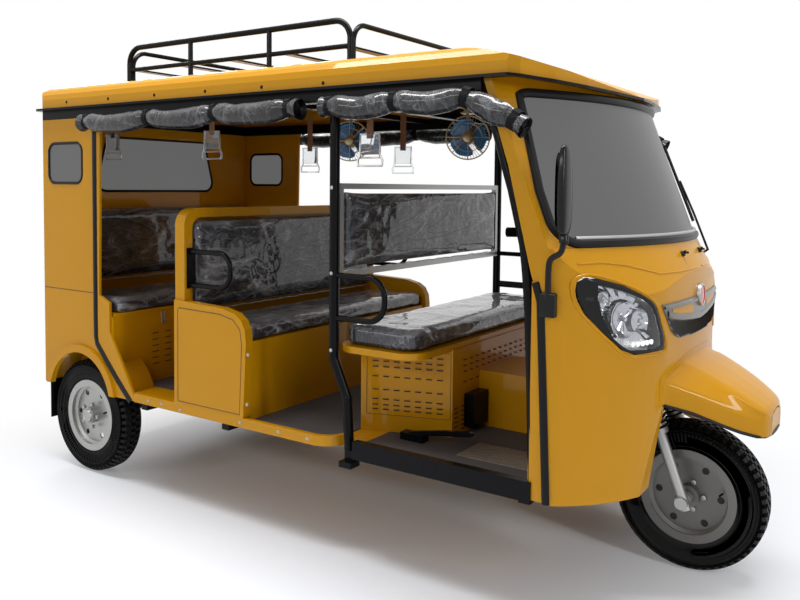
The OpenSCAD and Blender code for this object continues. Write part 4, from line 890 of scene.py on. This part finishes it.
for side, label in SIDES:
    strip(f"{label}_quarter_channel", side, [(98, 1690), (98, 1400), (98, 1100), (98, 760), (99, 670), (108, 636),
                                             (180, 560), (260, 480), (350, 396)], 30, 7, seal)
    front_x = lambda z: 2380 - (z - 405) * 0.046 if z < 1029 else 2351 - (z - 1029) * 0.30
    strip(f"{label}_cowl_channel", side, [(front_x(z), z) for z in (389, 500, 620, 760, 900, 1029, 1090)],
          27, 6, seal)
    strip(f"{label}_quarter_seam", side, [(-306, 874), (-200, 874), (-60, 874), (84, 874)], 5, 0.8, seam_dark)
    strip(f"{label}_bench_frame", side, [(668, 452), (668, 846), (676, 858), (925, 853), (1000, 838), (1040, 800),
                                         (1050, 740), (1038, 452), (668, 452)], 5, 1.2, seam_dark)
    tube = [at(x, side * 676, z) for x, z in ((2150, 1660), (2195, 1518), (2226, 1411), (2264, 1304), (2287, 1177),
                                              (2301, 1039),
                                              (2315, 772), (2322, 557), (2328, 386))]
    done(bar(f"{label}_door_edge_tube", [tube], 34, sides=4, smooth=True), black)
    jamb = shaped(f"{label}_door_jamb", 6, 16, lambda u,
                  v: at(2318 + u * (front_x(390 + v * 700) - 2316), side * (691 + 3 * math.sin(u * math.pi)),
                                                               390 + v * 700))
    modify(jamb, "SOLIDIFY", thickness=0.003, offset=0)
    done(jamb, enamel)

# %% [markdown]
# Fasteners are small but they carry the scale. A domed screw with a washer is modelled once and copied to the roof
# lip, the bench panels and the pillar feet.

# %% Screws and bolts


def domed(name, places, size, look, body="vehicle"):
    """places: (point, direction it faces)"""
    one = turned(name, Vector((0, 0, 0)), (0, 0, 1), [(size * 0.9, 0), (size * 0.9, 1), (size * 0.55, 1.2),
                                                      (size * 0.5, 2.8), (size * 0.25, 3.6), (0, 3.8)], 12)
    spots = [Matrix.Translation(p) @ Vector(d).to_track_quat("Z", "Y").to_matrix().to_4x4() for p, d in places]
    return done(repeat(one, name, spots), look, body)


roof_screws, panel_bolts = [], []
for side, label in SIDES:
    out = (0, side, 0)
    roof_screws += [(at(x, side * 721.5, z), out) for x, z in ((-80, 1772), (233, 1771), (550, 1770), (865, 1768),
                                                               (1180, 1766), (1487, 1762))]
    panel_bolts += [(at(x, side * 700, z), out) for x, z in ((1086, 704), (1081, 501), (1041, 419), (680, 413))]
    panel_bolts += [(at(x, side * 700, 420), out) for x in (560, 470, 1250, 1400)]
    panel_bolts += [(at(1497, side * 681, z), out) for z in (770, 1060, 1380)]
domed("roof_screws", roof_screws, 8, black)
domed("panel_bolts", panel_bolts, 8, silver)

# %% [markdown]
# Louvres let the engine under the driver's bench breathe. One pressed slot, a dark opening under a raised lip, is
# repeated over the box's sides and front and over the rear bench.

# %% Louvres


def louvres(name, places, wide=26.0, tall=6.5):
    """places: (middle in mm, outward direction)"""
    hole = block("hole", (-AXLE * 1000 - wide / 2, -tall / 2, -0.5), (-AXLE * 1000 + wide / 2, tall / 2, 0.5), 0.4,
                 1)
    lip = block("lip", (-AXLE * 1000 - wide / 2 - 2, tall / 2 - 0.5, -0.6),
                (-AXLE * 1000 + wide / 2 + 2, tall / 2 + 2.4, 1.9), 0.9, 2)
    seats = []
    for spot, out in places:
        out = Vector(out)
        level = Vector((0, 0, 1)).cross(out)
        seats.append(Matrix.Translation(at(*spot)) @ Matrix((level, Vector((0, 0, 1)), out)).transposed().to_4x4())
    done(repeat(hole, f"{name}_slots", seats), slot_dark)
    done(repeat(lip, f"{name}_lips", seats), enamel)


fields = []
for side, label in SIDES:
    for column in range(7):
        x = 1562 + column * 41
        y = 500 - (x - 1505) * 115 / 350 + 0.6
        fields += [((x, side * y, z), (0.312, side * 0.950, 0)) for z in (728, 705, 683, 645, 593, 555, 533, 515)]
for column in range(12):
    fields += [((1856, -290 + column * 50, z), (1, 0, 0)) for z in (714, 691, 668, 627)]
for side, _ in SIDES:
    for y in (306, 358):
        fields += [((1856, side * y, z), (1, 0, 0)) for z in (535, 517, 499, 481, 463, 446)]
louvres("box", fields, 24, 6)
panel = []
for side, _ in SIDES:
    on_side = lambda x, z: at(x, side * (500.8 - (x - 1505) * 115 / 350), z)
    panel.append([on_side(x, z) for x, z in ((1528, 750), (1690, 750), (1848, 750), (1848, 600), (1848, 494),
                                             (1690, 494), (1528, 494), (1528, 600))])
done(bar("box_panel_lines", panel, 2.6, closed=True), seam_dark)
bench = [((212.4, y, z), (1, 0, 0)) for y in (-447, -372, 372, 447) for z in (662, 632, 602, 572, 542, 513)]
louvres("bench", bench, 40, 5)
hasps = []
for side, _ in SIDES:
    hasps.append(block("hasp", (212, side * 404 - 9, 700), (218, side * 404 + 9, 765), 2))
    hasps.append(bar("staple", [[at(216, side * 404 - 8, 722), at(228, side * 404 - 8, 722),
                                 at(228, side * 404 + 8, 722),
                                 at(216, side * 404 + 8, 722)]], 5))
done(together("bench_hasps", *hasps), silver)
print(len(fields) + len(bench), "slots")

# %% [markdown]
# Chequered plate gives a wet shoe some grip where the driver's pedals are: a field of small raised bars, turned
# alternately left and right.

# %% Tread plate
plate = block("tread_plate_base", (1975, -560, 430.2), (2290, -385, 432.2), 1)
lozenge = block("lozenge", (-AXLE * 1000 - 11, -3, 0), (-AXLE * 1000 + 11, 3, 1.8), 1.2, 2)
seats = []
for i in range(15):
    for j in range(8):
        turn = math.radians(45 if (i + j) % 2 else -45)
        seats.append(Matrix.Translation(at(1988 + i * 20.6, -551 + j * 22, 432)) @ Matrix.Rotation(turn, 4, "Z"))
done(together("tread_plate", plate, repeat(lozenge, "lozenges", seats)), plate_steel)
print(len(seats), "raised bars on the tread plate")

# %% [markdown]
# A headlamp is a stack: a black surround, a chrome bowl, bulbs and a clear cover that follows the body. Rings of
# points are laid from the lamp's middle to its outline and pressed onto the body's own curve, each layer deeper.

# %% Headlamps
LAMP_EDGE = [(640, 1091), (589, 1080), (520, 1058), (444, 1025), (411, 1000), (384, 948), (366, 872), (483, 870),
             (521, 883), (565, 924), (609, 980), (633, 1031)]
SURROUND = [(654, 1095), (608, 1109), (516, 1080), (430, 1036), (392, 1006), (362, 950), (332, 856), (483, 855),
            (532, 874), (584, 928), (632, 990), (654, 1041)]


def through(four, f):
    """A smooth curve through four points, at share f of the way from the second to the third"""
    return [0.5 * (2 * b + (c - a) * f + (2 * a - 5 * b + 4 * c - d) * f * f + (3 * b - a - 3 * c + d) * f ** 3)
            for a, b, c, d in zip(*four)]


def outline(points, share):
    """The point at share (0 to 1) of the way round a smooth closed curve through the corners"""
    step = share * len(points)
    i, f = int(step) % len(points), step - int(step)
    return tuple(through([points[(i + k) % len(points)] for k in (-1, 0, 1, 2)], f))


def lamp_layer(name, side, inner, outer, depth, across=96, along=10):
    """inner, outer: outlines or a middle point; depth(v) in mm behind the body's surface"""
    def place(u, v):
        a = outline(inner, u % 1.0) if len(inner) > 1 else inner[0]
        b = outline(outer, u % 1.0)
        y, z = a[0] + (b[0] - a[0]) * v, a[1] + (b[1] - a[1]) * v
        spot = front_of("headlamps", side * y, z)
        return spot - Vector((0.94, side * 0.34, 0)) * depth(u, v) / 1000
    return shaped(name, across, along, place)


MIDDLE = (498, 968)
replaced = False
for side, label in SIDES:
    surround = lamp_layer(f"{label}_lamp_surround", side, LAMP_EDGE, SURROUND, lambda u,
                          v: -1.5 - 2.0 * math.sin(v * math.pi), along=6)
    wall = lamp_layer("wall", side, LAMP_EDGE, LAMP_EDGE, lambda u, v: -1.5 + 30 * v, along=3)
    surround = done(together(f"{label}_lamp_surround", surround, wall), gloss_black)
    if not replaced:
        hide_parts("headlamps")
        replaced = True
    back = lamp_layer("back", side, [MIDDLE], LAMP_EDGE, lambda u,
                      v: 33 + 2.5 * math.cos(u * math.tau * 24) * min(v, 0.9) - 5 * v, along=8)
    bowls = []
    for y, z, r in ((505, 968, 62), (445, 958, 40), (574, 1030, 33)):
        seat = front_of("headlamps", side * y, z) - Vector((0.94, side * 0.34, 0)) * 0.030
        bowls.append(turned("bowl", seat, (0.92, side * 0.39, 0.05),
                            [(r, 12), (r * 0.97, 13.5), (r * 0.93, 11), (r * 0.8, 2), (r * 0.55, -6),
                             (r * 0.3, -10), (8, -11), (8, 14), (6.5, 18), (0, 19)], 40))
    done(together(f"{label}_lamp_reflector", back, *bowls), chrome, sharp=28)
    rows = [(front_of("headlamps", side * (392 + i * 21),
                      884 + abs(i - 2) * 0.6) - Vector((0.94, side * 0.34, 0)) * 0.012,
             (0.94, side * 0.34, 0)) for i in range(5)]
    one = turned("led", Vector((0, 0, 0)), (0, 0, 1),
                 [(8, -6), (8.5, 0), (7.6, 0.8), (4.5, -1), (4.3, 2.5), (2.6, 4.2), (0, 4.6)], 18)
    done(repeat(one, f"{label}_lamp_leds",
                [Matrix.Translation(p) @ Vector(d).to_track_quat("Z", "Y").to_matrix().to_4x4()
                                            for p, d in rows]), led)
    cover = lamp_layer(f"{label}_lamp_cover", side, [MIDDLE], LAMP_EDGE, lambda u, v: -1.0, along=12)
    modify(cover, "SOLIDIFY", thickness=0.0022, offset=-1)
    done(cover, clear, sharp=60)
    lip = []
    for i in range(97):
        y, z = outline(SURROUND, (i % 96) / 96)
        y, z = MIDDLE[0] + (y - MIDDLE[0]) * 1.035, MIDDLE[1] + (z - MIDDLE[1]) * 1.05
        lip.append(front_of("front_cowl", side * min(y, 672), z))
    done(bar(f"{label}_lamp_rim", [lip[:-1]], 9, closed=True, sides=3), enamel)
print("lamps: surround, reflector, lights and cover on each side")

# %% [markdown]
# The nose carries a satin trim bar above a honeycomb grille, with a plain round badge between. The honeycomb is one
# six-sided ring, repeated and pressed onto the grille plate.

# %% Grille and badge
TRIM_LOW = [(-325, 962), (-296, 952), (-210, 939), (-84, 928), (0, 922), (84, 928), (210, 939), (296, 952),
            (325, 962)]


def along_line(points, y):
    for (y0, z0), (y1, z1) in zip(points, points[1:]):
        if y0 <= y <= y1:
            return z0 + (z1 - z0) * (y - y0) / (y1 - y0)
    return points[-1][1]


GRILLE_LOW = [(-360, 1004), (-346, 981), (-310, 935), (-290, 912), (-262, 893), (-224, 880), (-100, 874),
              (100, 874),
              (224, 880), (262, 893), (290, 912), (310, 935), (346, 981), (360, 1004)]
cell = shaped("cell", 6, 2, lambda u, v: Vector(((0, 0.0022, 0.0)[round(v * 2)] - 0.0006,
                                                 (6.4, 5.6, 4.9)[round(v * 2)] / 1000 * math.cos(u * math.tau),
                                                 (6.4, 5.6, 4.9)[round(v * 2)] / 1000 * math.sin(u * math.tau))))
seats = []
for i in range(-36, 37):
    for j in range(9):
        y, z = i * 9.4, 880 + j * 10.9 + (5.45 if i % 2 else 0)
        if abs(y) < 330 and along_line(GRILLE_LOW, y) + 5 < z < along_line(TRIM_LOW, max(-325, min(325, y))) - 1:
            seats.append(Matrix.Translation(front_of("grille", y, z)))
done(repeat(cell, "grille_honeycomb", seats), gloss_black, sharp=20)


def trim_bar(name, top, bottom, lift, y_low, y_high, look, steps=72):
    def place(u, v):
        y = y_low + (y_high - y_low) * u
        z = bottom(y) + (top(y) - bottom(y)) * v
        rise = lift * min(1.0, 5 * v, 5 * (1 - v))
        return front_of("grille", y, z) + Vector((rise / 1000, 0, 0))
    return done(shaped(name, steps, 10, place), look, sharp=50)


upper = lambda y: 1001 + 0.0 * y
trim_bar("grille_top_bar", upper, lambda y: min(986, 1000), 5, -350, 350, grey_trim)
trim_bar("grille_lower_bar", lambda y: along_line(TRIM_LOW, max(-325, min(325, y))) + 22,
         lambda y: along_line(TRIM_LOW, max(-325, min(325, y))) - 2, 5, -326, 326, grey_trim)
for side, label in SIDES:
    trim_bar(f"{label}_grille_panel", lambda y: 985, lambda y: along_line(TRIM_LOW, y) + 22, 1.2,
             min(side * 92, side * 290), max(side * 92, side * 290), enamel, 30)
nose = front_of("grille", 0, 1006)
badge = turned("nose_badge", nose, (1, 0, 0.03),
               [(39, -4), (39, 5), (36, 8), (33, 8.5), (31, 6.5), (12, 7.5), (0, 8)], 48)
done(badge, red_lens, sharp=25)
ring = turned("nose_badge_ring", nose, (1, 0, 0.03), [(41, -4), (41, 6), (38.5, 9.5), (35, 9), (34, 6)], 48)
done(ring, silver, sharp=40)
for side, label in SIDES:
    seat = front_of("front_cowl", side * 114, 1158)
    nozzle = turned("nozzle", seat, (0.75, side * 0.25, 0.6),
                    [(10, -3), (11, 5), (8, 9), (5.5, 10), (5.5, 17), (4, 19), (0, 19)], 20)
    stub = bar("stub", [[seat + Vector((0.004, 0, 0.006)), seat + Vector((0.022, -side * 0.004, 0.006))]], 8)
    done(together(f"{label}_washer_nozzle", nozzle, stub), plastic)
print(len(seats), "honeycomb cells")

# %% [markdown]
# The front mudguard is one smooth pressing. Its skin passes through a row of cross-sections from the nose to the
# tip, its back edge is pulled up to the cowl, and a rubber lip and soft crease lines finish it.

# %% Creases and mudguard lip


def on_part(node, points):
    return [skin(node).find_nearest(at(*spot))[0] for spot in points]


def between(points, steps):
    out = []
    for a, b in zip(points, points[1:]):
        out += [tuple(p + (q - p) * i / steps for p, q in zip(a, b)) for i in range(steps)]
    return out + [points[-1]]


STATIONS = [(-60, 185, 808, 358, 753, 680), (24, 181, 777, 302, 718, 652), (65, 182, 762, 272, 700, 638),
            (146, 166, 722, 216, 661, 598),
            (197, 152, 693, 182, 638, 576), (244, 136, 661, 150, 622, 561), (268, 114, 643, 126, 616, 556),
            (280, 74, 624, 86, 608, 556)]


def along_stations(t):
    """A smooth value between stations: the curve passes through every one of them"""
    step = t * (len(STATIONS) - 1)
    i = min(int(step), len(STATIONS) - 2)
    f = step - i
    return through([STATIONS[max(0, min(len(STATIONS) - 1, k))] for k in (i - 1, i, i + 1, i + 2)], f)


def guard_skin(u, v):
    """u runs over the guard from side to side, v from the nose of the body to the tip"""
    far, crown, crown_z, half, side_z, low = along_stations(v)
    w = abs(u * 2 - 1)
    corners = ((0, crown_z + 10), (crown * 0.55, crown_z + 7), (crown - 12, crown_z + 1), (crown + 8, crown_z - 8),
               (half - 5, side_z + 10), (half, side_z - 6), (half, low))
    stops = (0, 0.28, 0.44, 0.52, 0.78, 0.85, 1.0)
    k = next(i for i in range(6) if w <= stops[i + 1] + 1e-9)
    f = (w - stops[k]) / (stops[k + 1] - stops[k])
    y = corners[k][0] + (corners[k + 1][0] - corners[k][0]) * f
    z = corners[k][1] + (corners[k + 1][1] - corners[k][1]) * f
    return at(2650 + far, math.copysign(y, u - 0.5) if w > 1e-6 else 0, z)


guard = shaped("mudguard_skin", 72, 48, guard_skin)
nose = shaped("tip", 24, 8, lambda u, v: at(2930 - 0.5 * math.sin(v * math.pi),
                                            (u * 2 - 1) * (74 + 12 * (1 - v)) * (1 if v < 0.9 else 0.98),
                                            556 + v * (66 + 10 * (1 - abs(u * 2 - 1)))))
front_edge = skin("front_cowl")
for corner in guard.data.vertices:
    hit = front_edge.ray_cast(Vector((2.6, corner.co.y, corner.co.z)), Vector((-1, 0, 0)))[0]
    if hit and corner.co.x < hit.x + 0.001:
        corner.co.x = hit.x + 0.001
guard = together("mudguard_skin", guard, nose)
modify(guard, "WELD", merge_threshold=0.002)
modify(guard, "SMOOTH", iterations=2, factor=0.4)
modify(guard, "SOLIDIFY", thickness=0.003, offset=-1)
done(guard, enamel, sharp=60)
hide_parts("front_mudguard")
half_edge = [(2634, 330, 663), (2700, 288, 636), (2780, 234, 601), (2850, 182, 574), (2896, 147, 560),
             (2916, 118, 557), (2928, 60, 556), (2930, 0, 556)]
edge = [(x, -y, z) for x, y, z in half_edge] + [(x, y, z) for x, y, z in reversed(half_edge[:-1])]
done(bar("mudguard_lip", [on_part("front_mudguard", between(edge, 5))], 11, sides=3), seal)
nose_lines = []
for side, _ in SIDES:
    nose_lines.append([front_of("front_cowl", side * y, z) for y,
                       z in between([(640, 1150), (560, 1152), (470, 1140), (380, 1118), (330, 1106), (200, 1104),
                                     (40, 1108)], 8)])
done(bar("nose_creases", nose_lines, 6, sides=3), enamel)
seam = [front_of("front_cowl", y, z) for y,
        z in between([(-345, 640), (-330, 668), (-281, 716), (-216, 764), (-120, 781), (0, 784), (120, 781),
                      (216, 764), (281, 716), (330, 668), (345, 640)], 5)]
done(bar("mudguard_seam", [seam], 3, sides=2), seam_dark)

# %% [markdown]
# Passengers hold clear plastic loops that hang from the roof on short straps. Each loop is a flat plate with a slot,
# so light shows through it.

# %% Hanging handles


def handle(name, x, y, z, top):
    loop = bar("loop", [[at(x - 46, y, z + 62), at(x - 48, y, z - 20), at(x - 60, y, z - 40), at(x - 58, y, z - 62),
                         at(x + 58, y, z - 62),
                         at(x + 60, y, z - 40), at(x + 48, y, z - 20), at(x + 46, y, z + 62)]], 10, closed=True,
                         sides=3)
    panel = block("panel", (x - 46, y - 2.5, z - 18), (x + 46, y + 2.5, z + 62), 1.5)
    foot = bar("foot", [[at(x - 46, y, z - 30), at(x + 46, y, z - 30)]], 7, sides=3)
    done(together(name, loop, panel, foot), clear_plastic)
    band = block(f"{name}_strap", (x - 16, y - 2, z + 45), (x + 16, y + 2, top), 1)
    done(band, strap_brown)


for number, (x, y, z) in enumerate(((-102, -450, 1572), (613, -450, 1567), (1503, -450, 1529), (1224, 200, 1514),
                                    (642, 200, 1520))):
    handle(f"handle_{number + 1}", x, y, z, 1745 if abs(y) < 300 else 1735)

# %% [markdown]
# The cabin fans have wire cages. Each cage is a fan of thin bent wires between a small front ring and the outer
# ring, front and back.

# %% Fan cages
for label, joint in (("front", "front_fan_spin"), ("rear", "rear_fan_spin")):
    row = next(j for j in frame["joints"] if j["name"] == joint)
    middle = Vector(row["pos_m"])
    turn = Vector(row["axis"]).to_track_quat("Z", "Y")
    lines = []
    for i in range(44):
        a = i * math.tau / 44
        for face in (-1, 1):
            lines.append([middle + turn @ (Vector((r * math.cos(a + swirl), r * math.sin(a + swirl),
                                                   face * h)) / 1000)
                          for r, h, swirl in ((20, 21, 0.0), (50, 21, 0.10), (78, 19, 0.16), (91, 12, 0.17),
                                              (94, 3, 0.17))])
    rings = [[middle + turn @ (Vector((r * math.cos(k * math.tau / 40), r * math.sin(k * math.tau / 40),
                                       h)) / 1000) for k in range(40)]
             for r, h in ((94, 4), (94, -4), (60, 20.5), (60, -20.5), (20, 21.5))]
    cage = together(f"{label}_fan_cage", bar("wires", lines, 1.2, sides=0),
                    bar("rings", rings, 3.0, closed=True, sides=1))
    done(cage, wire)
    cap = turned(f"{label}_fan_badge", middle + turn @ Vector((0, 0, 0.020)), turn @ Vector((0, 0, 1)),
                 [(21, 0), (22, 2), (18, 5), (10, 6), (0, 6.2)], 32)
    done(cap, wire)
    petals = []
    for i in range(3):
        start = i * math.tau / 3

        def petal(u, v):
            r = 14 + 68 * v
            broad = 0.42 + 0.62 * math.sin(min(1, v * 1.15) * math.pi * 0.62)
            rounded = 1 if v < 0.86 else math.sqrt(max(0.02, 1 - ((v - 0.86) / 0.14) ** 2))
            spread = broad * rounded
            a = start + (u - 0.5) * 2 * spread * 0.86
            return middle + turn @ Vector((r * math.cos(a), r * math.sin(a), (0.5 - u) * 20 * (1 - 0.3 * v))) / 1000
        petals.append(shaped("petal", 20, 24, petal))
    hub = turned("hub", middle, turn @ Vector((0, 0, 1)),
                 [(0, -13), (14, -12), (17, -9), (17, 9), (14, 13), (0, 14)], 32)
    rotor = together(f"{label}_fan_petals", *petals, hub)
    modify(rotor, "SOLIDIFY", thickness=0.0016, offset=0)
    done(rotor, blade, f"{label}_fan", 50)
    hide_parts(f"{label}_fan_rotor")

# %% [markdown]
# Last come the parts seen from behind and below: mirror glass, ribbed lamp covers, rubber flaps, and the spring
# over the fork.

# %% Mirror, tail and fork details


def mirror_head(u, v):
    """Rounded box that narrows to the top; u runs round, v from the bottom to the top"""
    round_off = lambda value, power: math.copysign(abs(value) ** power, value)
    lift = -math.cos(v * math.pi)
    ring = math.sin(v * math.pi) ** 0.42
    narrow = 1 - 0.16 * (lift + 1) / 2
    return at(2438 + 17 * ring * narrow * round_off(math.cos(u * math.tau), 0.75),
              -732 + 42 * ring * narrow * round_off(math.sin(u * math.tau), 0.6),
              1380 + 136 * round_off(lift, 0.85))


head = shaped("head", 40, 40, mirror_head)
stem = [(2382, -715, 1040), (2382, -716, 1100), (2383, -717, 1150), (2390, -719, 1170), (2412, -722, 1180),
        (2430, -726, 1190), (2437, -729, 1215), (2438, -732, 1270)]
arm = bar("stem", [[at(*p) for p in stem]], 19, sides=4, smooth=True)
bracket = block("bracket", (2356, -722, 985), (2408, -697, 1062), 5)
collar = turned("collar", at(2438, -731, 1232), (0, 0, 1), [(10, -16), (15, -12), (15, 10), (11, 16)], 24)
mirror = together("door_mirror_head", head, arm, bracket, collar)
done(mirror, gloss_black)
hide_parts("door_mirror")


def mirror_face(u, v):
    """A flat glass with rounded corners, slightly domed, that fills the head's rear side"""
    squared = lambda value: math.copysign(abs(value) ** 0.6, value)
    return at(2420.2 - 1.0 * math.cos(v * 1.5), -732 + 34 * v * squared(math.cos(u * math.tau)),
              1376 + 118 * v * squared(math.sin(u * math.tau)))


mirror = shaped("mirror_glass", 32, 10, mirror_face)
done(mirror, chrome)
ribs = []
for side, _ in SIDES:
    for i in range(9):
        y = side * (548 + i * 10.5)
        ribs.append([at(-331.2, y, 507), at(-331.6, y, 545), at(-331.2, y, 583)])
done(bar("tail_lamp_ribs", ribs, 2.4, sides=2), red_lens)
for side, label in SIDES:
    flap = block(f"{label}_mud_flap", (-296, side * 622 - 62, 215), (-291, side * 622 + 62, 405), 2, 3)
    ribs = [block("rib", (-291.5, side * 622 + k * 24 - 2, 222), (-289, side * 622 + k * 24 + 2, 398),
                  1) for k in (-2, -1, 0, 1, 2)]
    done(together(f"{label}_mud_flap", flap, *ribs), seal)
rake = math.radians(20)
axis = Vector((-math.sin(rake), 0, math.cos(rake)))
base = at(2650, 0, 270)
coils = []
for side, _ in SIDES:
    line = []
    for i in range(9 * 14 + 1):
        a = i / 14 * math.tau
        sideways = axis.cross(Vector((0, 1, 0)))
        line.append(base + axis * (0.262 + 0.150 * i / 126) + Vector((0, side * 0.105, 0))
                    + (Vector((0, 1, 0)) * math.cos(a) + sideways * math.sin(a)) * 0.036)
    coils.append(line)
done(bar("fork_springs", coils, 7, sides=2), black, body="steering")
